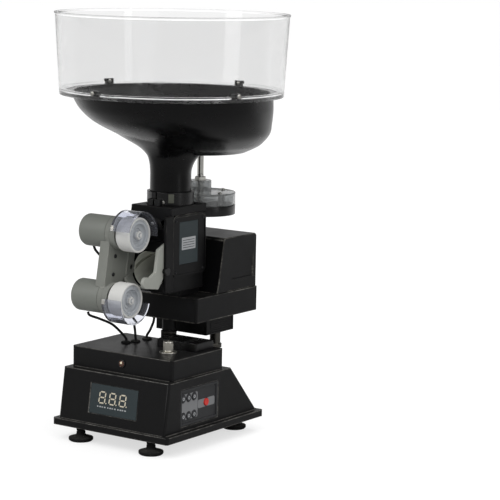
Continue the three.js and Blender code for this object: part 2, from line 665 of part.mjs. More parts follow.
function buildSwivel() {
  const blockTop = box.top + pivotBlock.height;
  const body = join(
    prismZ(
      roundedRect(pivotBlock.left, pivotBlock.right, pivotBlock.front, pivotBlock.rear, pivotBlock.corner),
      box.top, blockTop),
    rodZ(pivotBlock.boss, box.top, blockTop, 0, swivelY));
  const ribs = pivotBlock.ribShares.map((share) => {
    const x = pivotBlock.left + (pivotBlock.right - pivotBlock.left) * share;
    return block(
      x - pivotBlock.rib, x + pivotBlock.rib, pivotBlock.front + pivotBlock.rib,
      pivotBlock.rear - pivotBlock.rib,
      blockTop - pivotBlock.corner, blockTop + overrun);
  });
  place(base, 'pivot_block', cut(
    body, ...ribs, rodZ(post.radius + gap, box.top - overrun, blockTop + overrun, 0, swivelY)), blackGloss);

  const nutLow = tray.bottom + tray.floor + gap;
  place(base, 'pivot_post', join(
    rodZ(post.radius, post.low, tray.bottom + tray.floor + post.head, 0, 0, smallSides),
    rodZ(
      post.collar, box.top - shellWall - gap - post.nutThick, box.top - shellWall - gap, 0, 0, smallSides),
    rodZ(post.nut, nutLow, nutLow + post.nutThick, 0, 0, tinySides - 2)), chrome, [0, swivelY, 0]);
  place(base, 'thrust_washer', cut(
    rodZ(thrust.radius, blockTop + gap, blockTop + gap + thrust.thick),
    rodZ(post.radius + gap, blockTop, blockTop + thrust.thick + overrun)), brass, [0, swivelY, 0]);

  const bearing = Math.atan2(crank.y, crank.x);
  const reach = (distance) => [distance * Math.cos(bearing), distance * Math.sin(bearing)];
  const slotHalf = crank.pin + slot.side;
  const rimHalf = slotHalf + slot.rim;
  const hubLow = gearboxLow - crank.hubLength;
  const eyeLow = hubLow - crank.eyeThick;
  const armLow = eyeLow - slot.under;
  const armTop = armLow + slot.thick;
  const footFront = box.rear + gap;
  const footRear = footFront + slot.foot;
  const [slotX, slotY] = reach(slot.inner);
  const slotShape = (half) => linkShape(...reach(slot.inner), half, ...reach(slot.outer), half);
  const arm = cut(
    join(
      prismZ(slotShape(rimHalf), armLow, armTop, tinySides).translate([0, swivelY, 0]),
      prismZ(outline([
        [slot.footLeft, footFront], [slot.footRight, footFront], [slotX + rimHalf, slotY + swivelY],
        [slotX - rimHalf, slotY + swivelY],
      ]), armLow, armTop),
      block(slot.footLeft, slot.footRight, footFront, footRear, skirt.top, armTop)),
    prismZ(slotShape(slotHalf), armLow - overrun, armTop + overrun, tinySides).translate([0, swivelY, 0]));
  place(base, 'slotted_arm', arm, blackMatt);

  const pinPlace = reach(-crank.radius);
  place(turret, 'swivel_crank', join(
    rodZ(crank.hub, hubLow - overrun, gearboxLow - gap),
    rodZ(crank.stub, gearboxLow - overrun, gearboxLow + crank.stubLength, 0, 0, smallSides),
    prismZ(linkShape(0, 0, crank.eye, ...pinPlace, crank.eyeTip), eyeLow, hubLow, tinySides),
    rodZ(crank.pin, eyeLow - crank.pinLength, eyeLow + overrun, ...pinPlace, smallSides)),
    silver, [crank.x, crank.y, 0]);
}

function buildTray() {
  const inside = tray.wall;
  const shell = cut(
    prismZ(
      roundedRect(-tray.halfWidth, tray.halfWidth, tray.front, tray.rear, tray.corner), tray.bottom,
      trayTop),
    prismZ(
      roundedRect(
        -tray.halfWidth + inside, tray.halfWidth - inside, tray.front + inside, tray.rear - inside,
        tray.corner / 2),
      tray.bottom - overrun, trayTop - inside));
  place(turret, 'turret_tray', shell, blackShell);

  const housing = join(
    prismZ(
      roundedRect(
        -tray.halfWidth + inside + gap, tray.halfWidth - inside - gap, tray.front + inside + gap,
        tray.rear - inside - gap, tray.corner / 2),
      tray.bottom, tray.bottom + tray.floor),
    rodZ(sleeve.radius, tray.bottom - sleeve.length, tray.bottom + overrun),
    prismZ(
      roundedRect(-gearbox.halfWidth, gearbox.halfWidth, gearbox.front, gearbox.rear, gearbox.corner),
      gearboxLow, tray.bottom + overrun));
  const postHole = rodZ(
    post.radius + gap, tray.bottom - sleeve.length - overrun, tray.bottom + tray.floor + overrun);
  const wallPlace = block(
    -sleeve.radius, sleeve.radius, -sleeve.radius - overrun, tray.front + inside + gap, tray.bottom - gap,
    tray.bottom + tray.floor + overrun);
  const reliefs = [-1, 1].map((side) => block(
    side > 0 ? gearbox.halfWidth - gearbox.relief : -gearbox.halfWidth - overrun,
    side > 0 ? gearbox.halfWidth + overrun : -gearbox.halfWidth + gearbox.relief,
    gearbox.front + gearbox.inset, gearbox.rear - gearbox.inset, gearboxLow + gearbox.inset / 2,
    tray.bottom - gearbox.inset / 2));
  const shaftHole = rodZ(
    crank.stub + gap, gearboxLow - overrun, gearboxLow + crank.stubLength + gap, crank.x, crank.y,
    smallSides);
  place(turret, 'swivel_gearbox', cut(housing, ...reliefs, shaftHole, postHole, wallPlace), blackMatt);
}

// Side outline of the rear cover, drawn in by a wall
function rearCoverShape(inset, low) {
  const c = rearCover;
  return outline([
    [c.footFront + inset, low], [c.rear - inset, low], [c.rear - inset, rearCoverTop - c.edge - inset],
    [c.rear - c.edge - inset, rearCoverTop - inset], [c.topFront + c.edge + inset, rearCoverTop - inset],
    [c.topFront + inset, rearCoverTop - c.edge - inset], [c.kneeFront + inset, trayTop + c.knee],
  ]);
}

function buildRearCover() {
  const c = rearCover;
  const skin = prismX(rearCoverShape(0, trayTop), -c.halfWidth, c.halfWidth);
  const hollow = prismX(
    rearCoverShape(c.wall, trayTop - overrun), -c.halfWidth + c.wall, c.halfWidth - c.wall);
  const reliefLow = trayTop + c.reliefLift;
  const relief = block(
    c.halfWidth - c.relief, c.halfWidth + overrun, c.reliefFront, c.reliefRear, reliefLow,
    reliefLow + c.reliefHeight);
  const motorPlace = [gear.pinionX, stirrerY + pinionAway()];
  const shaftHole = rodZ(
    feedMotor.boss + gap, rearCoverTop - c.wall - overrun, rearCoverTop + overrun, ...motorPlace,
    smallSides);
  place(turret, 'rear_cover', cut(skin, hollow, relief, shaftHole), blackShell);

  const half = feedMotor.halfWidth;
  const feed = cut(
    join(
      prismZ(
        roundedRect(-half, half, -half, half, feedMotor.corner), trayTop + feedMotor.lift, feedMotorTop),
      rodZ(feedMotor.boss, feedMotorTop - overrun, rearCoverTop + gap, 0, 0, smallSides),
      ...[-1, 1].map((side) => block(
        side > 0 ? half - overrun : -half - feedMotor.corner,
        side > 0 ? half + feedMotor.corner : -half + overrun,
        -feedMotor.corner, feedMotor.corner, trayTop + gap, feedMotorTop - feedMotor.corner))),
    rodZ(pinion.shaft + gap, feedMotorTop - feedMotor.boss, rearCoverTop + overrun, 0, 0, smallSides));
  place(turret, 'feed_motor', feed, silver, [...motorPlace, 0]);
}

// How far the pinion's axis lies behind the drive gear's
function pinionAway() {
  const centres = (gear.diameterPerTooth * (gear.teeth + gear.pinionTeeth)) / 2;
  return Math.sqrt(centres * centres - gear.pinionX * gear.pinionX);
}

function buildColumn() {
  const c = column;
  const ballRise = Math.tan(degToRad(tilt.liftAngle));
  const turnZ = tiltZ + tilt.y * ballRise;
  const exitLength = -c.front * 2;
  const exit = new THREE.CylinderGeometry(trough.bore, trough.bore, exitLength, roundSides);
  exit.rotateX(Math.PI).translate(0, -exitLength / 2, 0);
  exit.rotateX(degToRad(-tilt.liftAngle)).translate(0, 0, turnZ);
  const elbow = new THREE.SphereGeometry(c.bore, roundSides, roundSides / 2);
  elbow.rotateX(Math.PI / 2).translate(0, 0, turnZ);
  const earLow = columnLow + ear.lift;
  const archZ = plateLow - arch.drop;
  const ears = [-1, 1].flatMap((side) => {
    const inner = side > 0 ? ear.inner : -ear.outer;
    const outer = side > 0 ? ear.outer : -ear.inner;
    const webInner = side > 0 ? c.halfWidth - overrun : -ear.outer;
    const webOuter = side > 0 ? ear.outer : -c.halfWidth + overrun;
    return [
      block(inner, outer, ear.front, ear.rear, earLow, plateLow - gap),
      block(webInner, webOuter, c.front, ear.rear, earLow, plateLow + overrun),
    ];
  });
  const archShape = new THREE.Shape();
  archShape.moveTo(arch.x - arch.radius, archZ);
  archShape.lineTo(arch.x + arch.radius, archZ);
  archShape.absarc(arch.x, archZ, arch.radius, 0, Math.PI);
  const body = cut(
    join(
      block(-c.halfWidth, c.halfWidth, c.front, c.rear, columnLow, plateLow + overrun),
      block(-c.coverOut, c.coverOut, c.front, c.rear, plateLow, columnTop),
      block(-c.footHalf, c.footHalf, c.footFront, c.footRear, trayTop, columnLow + overrun),
      prismY(archShape, c.front - arch.proud, c.front + overrun, tinySides),
      ...ears),
    rodZ(c.bore, turnZ, columnTop + overrun),
    solidOf(elbow),
    solidOf(exit),
    block(
      arch.recessLeft, arch.recessRight, c.front - overrun, c.front + arch.recess,
      plateLow - arch.recessDrop, archZ - gap),
    rodX(tilt.pin + gap, -ear.outer - overrun, ear.outer + overrun, tilt.y, tiltZ, smallSides),
  );
  place(turret, 'feed_column', body, blackMatt);

  const panel = roundedRect(
    ear.rear + sideCover.gapFront, c.rear, coverLow, plateLow - gap, sideCover.corner);
  const low = c.halfWidth + gap;
  const border = sideCover.border;
  const relief = roundedRect(
    ear.rear + sideCover.gapFront + border, c.rear - border, coverLow + border, plateLow - gap - border,
    sideCover.corner - border);
  const pocket = block(
    c.coverOut - sideCover.relief - labelPlate.pocket, c.coverOut + overrun, labelPlate.front - gap,
    labelPlate.rear + gap, coverLow + labelPlate.sill - gap, plateLow - labelPlate.head + gap);
  place(turret, 'label_cover', cut(
    prismX(panel, low, c.coverOut), prismX(relief, c.coverOut - sideCover.relief, c.coverOut + overrun),
    pocket),
    blackShell);
  place(turret, 'plain_cover', cut(
    prismX(panel, -c.coverOut, -low),
    prismX(relief, -c.coverOut - overrun, -c.coverOut + sideCover.relief)),
    blackShell);
  const plateBack = c.coverOut - sideCover.relief - labelPlate.pocket + gap;
  place(turret, 'label_plate', block(
    plateBack, plateBack + labelPlate.thick, labelPlate.front, labelPlate.rear, coverLow + labelPlate.sill,
    plateLow - labelPlate.head),
    greyBlue);

  const band = cut(
    join(
      rodZ(collar.radius, columnTop, columnTop + collar.height),
      block(
        -collar.lugWidth, collar.lugWidth, -collar.radius - collar.lug, -hopper.tube, columnTop,
        columnTop + collar.height / 2)),
    rodZ(hopper.tube + collar.sleeve, columnTop - overrun, columnTop + collar.height + overrun),
    block(
      -collar.slit / 2, collar.slit / 2, -collar.radius - collar.lug - overrun, -hopper.tube + overrun,
      columnTop - overrun, columnTop + collar.height + overrun));
  place(turret, 'tube_collar', band, blackGloss);
}

function polar(angle, radius) {
  return [radius * Math.cos(degToRad(angle)), radius * Math.sin(degToRad(angle))];
}

function buildHopper() {
  const tubeLow = columnTop + gap;
  const dish = (inset) => loft(
    dishRows.map((row) => circleRing(
      { ...row, z: row === dishRows.at(-1) ? row.z + inset : row.z }, inset)).reverse());
  const throat = (inset, low) => loft([
    circleRing({ x: 0, y: 0, radius: hopper.tube, z: low }, inset),
    ...throatRows.map((row) => circleRing(row, inset)).reverse(),
  ]);
  const boreInset = hopper.tube - hopper.bore;
  const flangeLow = hopperTop - hopper.flangeThick;
  const rimRow = { ...dishRows[0], z: flangeLow };
  const tabs = ringScrewAngles.map((angle) => {
    const geometry = geometryOf(block(
      hopper.flangeRadius - tab.inner, hopper.flangeRadius, -tab.width / 2, tab.width / 2, flangeLow,
      hopperTop + tab.height));
    return solidOf(geometry.rotateZ(degToRad(angle)));
  });
  const keep = rodZ(
    hopper.flangeRadius - weld, flangeLow - overrun, hopperTop + tab.height + overrun, 0, 0, rimSides);
  const outer = join(
    dish(0), throat(0, tubeLow), rodZ(hopper.flangeRadius, flangeLow, hopperTop, 0, 0, rimSides),
    ...tabs.map((piece) => piece.intersect(keep)));
  const inner = join(
    dish(hopper.wall), throat(boreInset, tubeLow - overrun),
    loft(
      [circleRing(rimRow, hopper.wall), circleRing({ ...rimRow, z: hopperTop + overrun }, hopper.wall)]));
  const screwHoles = ringScrewAngles.map((angle) => {
    const hole = new THREE.CylinderGeometry(ringScrewRadius, ringScrewRadius, tab.width * 2, tinySides);
    hole.rotateZ(Math.PI / 2).translate(hopper.flangeRadius, 0, hopperTop + tab.screwUp);
    return solidOf(hole.rotateZ(degToRad(angle)));
  });
  const shaftHole = rodZ(
    stirrer.radius + stirrer.play, hopperFloor - overrun, hopperFloor + hopper.wall * 2, 0, stirrerY,
    smallSides);
  place(turret, 'hopper_bowl', cut(outer, inner, shaftHole, ...screwHoles), blackGloss);

  const r = ring;
  const ledgeLow = hopperTop + gap;
  const ringLow = hopperTop - r.drop;
  const ringTop = ringLow + r.height;
  const slope = (z) => hopper.flangeRadius + r.skirt + (r.flare * (z - ringLow)) / r.height;
  const profile = [
    [slope(ringLow), ringLow], [slope(ringTop), ringTop - r.lipHeight],
    [slope(ringTop) + r.lip, ringTop - r.lipHeight + r.lip],
    [slope(ringTop) + r.lip, ringTop], [slope(ringTop) - r.wall, ringTop],
    [slope(ledgeLow + r.ledgeThick) - r.wall, ledgeLow + r.ledgeThick],
    [hopper.flangeRadius - r.ledge, ledgeLow + r.ledgeThick], [hopper.flangeRadius - r.ledge, ledgeLow],
    [hopper.flangeRadius + gap, ledgeLow], [hopper.flangeRadius + gap, ringLow], [slope(ringLow), ringLow],
  ];
  const tabSlots = ringScrewAngles.map((angle) => {
    const geometry = geometryOf(block(
      hopper.flangeRadius - r.ledge - overrun, hopper.flangeRadius + gap, -tab.width / 2 - gap,
      tab.width / 2 + gap,
      hopperTop, hopperTop + tab.height + overrun));
    return solidOf(geometry.rotateZ(degToRad(angle)));
  });
  place(turret, 'hopper_ring', cut(turned(profile, rimSides), ...screwHoles, ...tabSlots), clearSheet);
}

// Keeps the part of a solid that lies behind the column
function behindColumn(solid) {
  return cut(solid, block(
    -caseRadius * 2, caseRadius * 2, caseFlat - caseRadius * 2, caseFlat, caseBottom - overrun, towerTop));
}

function buildStirrerDrive() {
  const g = gearCase;
  const pinionY = stirrerY + pinionAway();
  const shaftLow = caseBottom + stirrer.lift;
  const disc = (inset, z0, z1) => rodZ(caseRadius - inset, z0, z1, 0, caseY, bowlSides);
  const flatWall = (inset, z0, z1) => cut(disc(inset, z0, z1), block(
    -caseRadius * 2, caseRadius * 2, caseFlat - caseRadius * 2, caseFlat + inset, z0 - overrun,
    z1 + overrun));
  const caseTray = join(
    cut(
      join(
        cut(
          behindColumn(disc(0, caseBottom, caseSplit)),
          flatWall(g.wall, caseBottom + g.floor, caseSplit + overrun)),
        rodZ(stirrer.boss, caseBottom - g.floor, caseBottom + overrun, 0, stirrerY, smallSides)),
      rodZ(stirrer.radius + stirrer.play, shaftLow - stirrer.play, caseSplit, 0, stirrerY, smallSides),
      rodZ(pinion.hub + gap, caseBottom - overrun, caseSplit, gear.pinionX, pinionY, smallSides)));
  place(turret, 'gear_tray', caseTray, blackGloss);

  const screwHoles = g.screwAngles.map((angle) => {
    const [x, y] = polar(angle, caseRadius - g.screwInset);
    return rodZ(lidScrewRadius, caseTop - g.lidWall - overrun, caseTop + overrun, x, caseY + y, tinySides);
  });
  const lid = cut(
    join(
      behindColumn(disc(0, caseSplit + gap, caseTop)),
      rodZ(g.tower, caseTop - overrun, towerTop, 0, stirrerY)),
    flatWall(g.lidWall, caseSplit, caseTop - g.lidWall),
    rodZ(g.tower - g.lidWall, caseTop - g.lidWall - overrun, towerTop - g.lidWall, 0, stirrerY),
    rodZ(stirrer.radius + stirrer.play, caseTop, towerTop + overrun, 0, stirrerY, smallSides),
    ...screwHoles);
  place(turret, 'gear_lid', lid, clearSheet);

  place(
    turret, 'stirrer_shaft', rodZ(stirrer.radius, shaftLow, hopperFloor + stirrer.reach), chrome,
    [0, stirrerY, 0]);
  const towards = Math.atan2(pinionAway(), gear.pinionX);
  const bigGear = join(
    gearSolid(gear.teeth, gear.thick, towards, stirrer.radius + gap).translate([0, 0, gearLow]),
    cut(
      rodZ(gear.hub, caseBottom + gear.hubLift, gearLow + overrun),
      rodZ(
        stirrer.radius + gap, caseBottom + gear.hubLift - overrun, gearLow + overrun * 2, 0, 0,
        smallSides)));
  place(turret, 'drive_gear', bigGear, blackMatt, [0, stirrerY, 0]);
  const meshTurn = towards + Math.PI + Math.PI / gear.pinionTeeth;
  const small = join(
    gearSolid(gear.pinionTeeth, gear.thick + pinion.extra, meshTurn, pinion.shaft - overrun)
      .translate([0, 0, gearLow - pinion.extra / 2]),
    rodZ(pinion.shaft, motorShaftLow(), gearLow + gear.thick + pinion.extra / 2, 0, 0, smallSides),
    rodZ(pinion.hub, rearCoverTop + pinion.hubRise, gearLow, 0, 0, smallSides));
  place(turret, 'motor_pinion', small, brass, [gear.pinionX, pinionY, 0]);

  const w = wheel;
  const wheelLow = hopperFloor + w.lift;
  const reach = dishRows.at(-1).radius * w.reachShare;
  const arms = Array.from({ length: w.armCount }, (_, i) => {
    const start = (fullTurn * i) / w.armCount;
    const tip = polar(start + w.sweepAngle, reach - w.armWidth / 2);
    return prismZ(
      linkShape(0, 0, w.armWidth, ...tip, w.armWidth / 2), wheelLow + gap, wheelLow + w.thick,
      tinySides / 2);
  });
  const stir = cut(
    join(rodZ(w.hub, wheelLow, wheelLow + w.hubHeight, 0, 0, midSides), ...arms),
    rodZ(stirrer.radius + gap, wheelLow - overrun, wheelLow + w.hubHeight + overrun, 0, 0, smallSides));
  place(turret, 'stirrer_wheel', stir, greyCast, [0, stirrerY, 0]);
}

function motorShaftLow() {
  return feedMotorTop - feedMotor.boss + gap;
}

// Side outline of the right cheek: a J whose nose reaches under the ball
function cheekShape() {
  const c = cheek;
  const shape = new THREE.Shape();
  shape.moveTo(c.topY, c.topRear);
  shape.lineTo(c.frontY, c.topFront);
  shape.lineTo(c.frontY, c.throatZ);
  shape.lineTo(c.noseTopY, c.noseTopZ);
  shape.absarc(c.noseY, c.noseZ, c.noseRadius, Math.PI / 3, Math.PI * 1.5);
  shape.lineTo(c.heelY, c.heelZ);
  shape.lineTo(c.topY, c.rearZ);
  return shape;
}

function buildBracket() {
  const w = wall;
  const outerX = w.inner + w.thick;
  const left = join(
    prismX(outline([
      [w.front, -w.half], [w.front, w.half], [nip.y - w.pad / 2, nip.halfHeight],
      [w.rear - w.pad / 2, w.rearHigh],
      [w.rear, w.rearHigh - w.pad / 2], [w.rear, w.rearLow], [w.rear - w.pad / 2, w.waistLow - w.pad / 2],
      [nip.y - w.pad / 2, -nip.halfHeight],
    ].reverse()), -outerX, -w.left),
    rodX(w.pad, -outerX, -w.left, nip.y, nip.halfHeight),
    rodX(w.pad, -outerX, -w.left, nip.y, -nip.halfHeight),
    rodX(w.collar, -w.left - overrun, -w.collarRight, nip.y, nip.halfHeight),
    rodX(w.collar, -w.left - overrun, -w.collarRight, nip.y, -nip.halfHeight),
    rodX(tilt.boss, -outerX, -w.left),
    cut(
      block(
        -w.flangeOut, -w.left - overrun, w.front, w.front + w.flangeThick, -w.flangeHalf, w.flangeHalf),
      rodX(motor.radius + gap, -w.flangeOut - overrun, -outerX, nip.y, nip.halfHeight),
      rodX(motor.radius + gap, -w.flangeOut - overrun, -outerX, nip.y, -nip.halfHeight)),
    block(-w.left - overrun, -w.left + w.rib, w.ribY - w.ribThick, w.ribY, w.ribLow, w.ribHigh),
  );
  const right = join(
    prismX(cheekShape(), w.inner, outerX, tinySides),
    rodX(tilt.boss, w.inner, outerX));
  const pipe = cut(
    rodY(trough.bore + trough.skin, trough.front, trough.rear),
    rodY(trough.bore, trough.front - overrun, trough.rear + overrun),
    prismX(outline([
      [trough.front - overrun, trough.frontLip], [trough.front, trough.frontLip],
      [trough.rear, trough.rearLip], [trough.rear + overrun, trough.rearLip],
      [trough.rear + overrun, outerX * 2], [trough.front - overrun, outerX * 2],
    ]), -outerX - overrun, outerX + overrun));
  const screwPlaces = [-1, 1].map((side) => [wallScrew.y, side * wallScrew.halfPitch]);
  const reach = w.pad * 2;
  const ballWay = rodY(trough.bore, -reach, reach)
    .intersect(block(-w.left + w.rib, w.inner, -reach, reach, -reach, reach));
  const bracket = cut(
    join(left, right, pipe), ballWay,
    rodX(motor.boss + gap, -outerX - overrun, -w.collarRight + overrun, nip.y, nip.halfHeight),
    rodX(motor.boss + gap, -outerX - overrun, -w.collarRight + overrun, nip.y, -nip.halfHeight),
    rodX(tilt.pin + gap, -outerX - overrun, outerX + overrun, 0, 0, smallSides),
    ...screwPlaces.map(([y, z]) =>
      rodX(wallScrew.radius, -outerX - overrun, -w.left + overrun, y, z, tinySides)),
  );
  place(head, 'head_bracket', bracket, greyCast);

  const pinLength = ear.outer + gap - trough.bore - trough.skin / 2;
  const pinProfile = [
    [0, 0], [tilt.pin, 0], [tilt.pin, pinLength], [tilt.pinHead, pinLength],
    [tilt.pinHead, pinLength + tilt.pinHeadThick], [0, pinLength + tilt.pinHeadThick],
  ];
  [-1, 1].forEach((side) => {
    const name = side > 0 ? 'tilt_pin_right' : 'tilt_pin_left';
    const start = side * (ear.outer + gap - pinLength);
    const pin = place(head, name, turned(pinProfile, smallSides), chrome, [start, 0, 0]);
    pin.rotation.y = (side * Math.PI) / 2;
  });
}

// One motor with its roller and guard; side is 1 for the upper set and -1 for the lower one
function buildDrive(name, side) {
  const w = wall;
  const outerX = w.inner + w.thick;
  const y = nip.y;
  const z = side * nip.halfHeight;
  const m = motor;
  const canProfile = [
    [0, m.left], [m.radius - m.edge, m.left],
    [m.radius - m.edge * m.chamferShare, m.left + m.edge * m.chamferShare],
    [m.radius, m.left + m.edge], [m.radius, -outerX - gap], [m.boss, -outerX - gap],
    [m.boss, -w.inner + m.bossRight / 2], [m.bore, -w.inner + m.bossRight / 2],
    [m.bore, -outerX - m.boreDepth],
    [0, -outerX - m.boreDepth],
  ];
  const can = place(head, `${name}_motor`, turned(canProfile), greyCast, [0, y, z]);
  can.rotation.y = Math.PI / 2;

  const r = roller;
  const tyreProfile = [
    [r.bore, -r.halfWidth], [r.radius - r.edge, -r.halfWidth], [r.radius, -r.halfWidth + r.edge],
    [r.radius, r.halfWidth - r.edge], [r.radius - r.edge, r.halfWidth], [r.bore, r.halfWidth],
    [r.bore, -r.halfWidth],
  ];
  const tyre = place(head, `${name}_tyre`, turned(tyreProfile), tyreWhite, [0, y, z]);
  tyre.rotation.y = Math.PI / 2;
  const hubOut = r.bore - gap;
  const hubProfile = [
    [0, shaft.left], [shaft.radius, shaft.left], [shaft.radius, -r.hubFace], [hubOut, -r.hubFace],
    [hubOut, r.hubFace], [r.recessOut, r.hubFace], [r.recessOut, r.hubFace - r.recess],
    [r.recessIn, r.hubFace - r.recess], [r.recessIn, shaft.nutLeft], [shaft.nut, shaft.nutLeft],
    [shaft.nut, shaft.nutRight], [shaft.radius, shaft.nutRight], [shaft.radius, shaft.right],
    [0, shaft.right],
  ];
  const hub = place(head, `${name}_hub`, turned(hubProfile, midSides), clearHub, [0, y, z]);
  hub.rotation.y = Math.PI / 2;

  const g = guard;
  const guardLeft = -w.collarRight + gap;
  const tube = cut(
    rodX(g.radius, guardLeft, g.right),
    rodX(g.radius - g.wall, guardLeft + g.wall, g.right + overrun),
    rodX(g.inner, guardLeft - overrun, g.right));
  const reach = g.radius * 2;
  const away = side > 0
    ? block(guardLeft - overrun, g.right + overrun, -reach, reach, -reach, g.edge)
    : block(guardLeft - overrun, g.right + overrun, -reach, reach, -g.edge, reach);
  place(head, `${name}_guard`, cut(tube, away), clearSheet, [0, y, z]);
}

function buildLeads() {
  const route = (start, index, shares) => {
    const [x, y] = grommetPlaces[index];
    const end = { x, y, z: box.top + lead.above };
    const middle = shares.map((share) => ['x', 'y', 'z'].map((axis, i) =>
      start[axis] + (end[axis] - start[axis]) * share[i]));
    return [
      [start.x, start.y, start.z], ...middle, [x, y, end.z], [x, y, box.top], [x, y, box.top - lead.below]];
  };
  const turretStart = { ...turretLeadStart, z: tray.bottom - gap };
  place(base, 'lower_motor_lead', leadSolid(route(lowerLeadStart, 0, leadShares.lower)), rubberBlack);
  place(base, 'upper_motor_lead', leadSolid(route(upperLeadStart, 1, leadShares.upper)), rubberBlack);
  place(base, 'turret_lead', leadSolid(route(turretStart, 2, leadShares.turret)), rubberBlack);
}

buildBase();
buildBaseFittings();
buildKeypad();
buildSwivel();
buildTray();
buildRearCover();
buildColumn();
buildHopper();
buildStirrerDrive();
buildBracket();
buildDrive('upper', 1);
buildDrive('lower', -1);
buildLeads();

export default robot;
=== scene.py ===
import bpy, bmesh, json, math
from mathutils import Matrix, Vector


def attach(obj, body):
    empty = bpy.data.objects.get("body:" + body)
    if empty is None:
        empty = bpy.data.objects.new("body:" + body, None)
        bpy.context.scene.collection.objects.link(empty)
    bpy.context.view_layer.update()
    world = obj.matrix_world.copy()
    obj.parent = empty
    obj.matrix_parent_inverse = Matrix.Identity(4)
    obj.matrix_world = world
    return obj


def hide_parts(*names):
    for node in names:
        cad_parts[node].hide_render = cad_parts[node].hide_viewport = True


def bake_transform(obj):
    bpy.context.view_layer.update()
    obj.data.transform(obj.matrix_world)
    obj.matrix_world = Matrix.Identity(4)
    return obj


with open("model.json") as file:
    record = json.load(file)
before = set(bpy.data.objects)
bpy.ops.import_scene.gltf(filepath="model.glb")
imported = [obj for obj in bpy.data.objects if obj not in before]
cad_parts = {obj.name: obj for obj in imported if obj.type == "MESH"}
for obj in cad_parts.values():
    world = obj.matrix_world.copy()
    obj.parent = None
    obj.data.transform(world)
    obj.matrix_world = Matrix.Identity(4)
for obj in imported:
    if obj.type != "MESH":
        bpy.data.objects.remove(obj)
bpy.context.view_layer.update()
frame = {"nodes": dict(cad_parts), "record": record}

# Table tennis robot. Points and sizes below are in millimetres, in the frame of the CAD model.
scene = bpy.context.scene
mm = 0.001
nodes = frame["nodes"]
bodyOf = {node: body for body, members in frame["record"]["behaviour"]["bodies"].items() for node in members}

basePlace = Matrix.Translation((0, -17, 0))
headTurn = Matrix.Rotation(math.radians(-10.3), 4, "X")
headPlace = Matrix.Translation((0, -46, 203.3)) @ headTurn
frontTurn = Matrix.Rotation(-math.atan2(8.9, 60), 4, "X")
frontPlace = basePlace @ Matrix.Translation((0, -88.05, 55.4)) @ frontTurn
alongX = Matrix.Rotation(math.pi / 2, 4, "Y")
toSide = Matrix(((0, 0, 1, 0), (1, 0, 0, 0), (0, 1, 0, 0), (0, 0, 0, 1)))
shaftY = 59
shaftPlace = Matrix.Translation((0, shaftY, 0))


# Camera, from the photograph's viewing angle
view = {"place": (1462.2, -1935.0, 594.7), "turn": 34.83, "pitch": 8.74, "roll": 1.07, "lens": 148.87}


def makeCamera():
    turn, pitch, roll = (math.radians(view[k]) for k in ("turn", "pitch", "roll"))
    back = Vector((math.sin(turn) * math.cos(pitch), -math.cos(turn) * math.cos(pitch), math.sin(pitch)))
    right = Vector((math.cos(turn), math.sin(turn), 0))
    up = back.cross(right)
    side = right * math.cos(roll) + up * math.sin(roll)
    top = up * math.cos(roll) - right * math.sin(roll)
    data = bpy.data.cameras.new("photoCamera")
    data.lens, data.sensor_width, data.clip_end = view["lens"], 36, 100
    camera = bpy.data.objects.new("photoCamera", data)
    turned = Matrix((side, top, back)).transposed().to_4x4()
    camera.matrix_world = Matrix.Translation(Vector(view["place"]) * mm) @ turned
    scene.collection.objects.link(camera)
    scene.camera = camera


makeCamera()
print("camera ready")


# Shader helpers: each socket takes a plain value or the output of another node
def fill(tree, node, values):
    for label, value in values.items():
        if isinstance(value, bpy.types.NodeSocket):
            tree.links.new(value, node.inputs[label])
        else:
            node.inputs[label].default_value = value
    return node


def addNode(tree, kind, values=None, **settings):
    node = tree.nodes.new(kind)
    for label, setting in settings.items():
        setattr(node, label, setting)
    return fill(tree, node, values or {})


def tone(red, green, blue, share=1.0):
    parts = (value / 255 for value in (red, green, blue))
    linear = [c / 12.92 if c <= 0.04045 else ((c + 0.055) / 1.055) ** 2.4 for c in parts]
    return (*(c * share for c in linear), 1.0)


def mathNode(tree, operation, first, second=None, clamp=False):
    values = {0: first} if second is None else {0: first, 1: second}
    return addNode(tree, "ShaderNodeMath", values, operation=operation, use_clamp=clamp).outputs[0]


def noiseNode(tree, spot, scale, detail, roughness):
    values = {"Vector": spot, "Scale": scale, "Detail": detail, "Roughness": roughness}
    return addNode(tree, "ShaderNodeTexNoise", values).outputs["Fac"]


def spreadNode(tree, value, low, high):
    values = {"Value": value, "From Min": low, "From Max": high}
    return addNode(tree, "ShaderNodeMapRange", values, interpolation_type="SMOOTHSTEP").outputs["Result"]


def roughBetween(tree, factor, low, high):
    values = {"Value": factor, "To Min": low, "To Max": high}
    return addNode(tree, "ShaderNodeMapRange", values).outputs["Result"]


def bumpFrom(tree, height, strength, distance):
    values = {"Height": height, "Strength": strength, "Distance": distance}
    return addNode(tree, "ShaderNodeBump", values).outputs[0]


def mixColours(tree, factor, first, second):
    return addNode(tree, "ShaderNodeMix", {0: factor, 6: first, 7: second}, data_type="RGBA").outputs[2]


def objectSpot(tree):
    return addNode(tree, "ShaderNodeTexCoord").outputs["Object"]


def axesOf(tree, vector):
    return addNode(tree, "ShaderNodeSeparateXYZ", {0: vector}).outputs


def shaderGroup(name, inputs, outputs):
    tree = bpy.data.node_groups.new(name, "ShaderNodeTree")
    for label, value in inputs.items():
        tree.interface.new_socket(label, in_out="INPUT", socket_type="NodeSocketFloat").default_value = value
    for label in outputs:
        tree.interface.new_socket(label, in_out="OUTPUT", socket_type="NodeSocketFloat")
    return tree, tree.nodes.new("NodeGroupInput").outputs, tree.nodes.new("NodeGroupOutput")


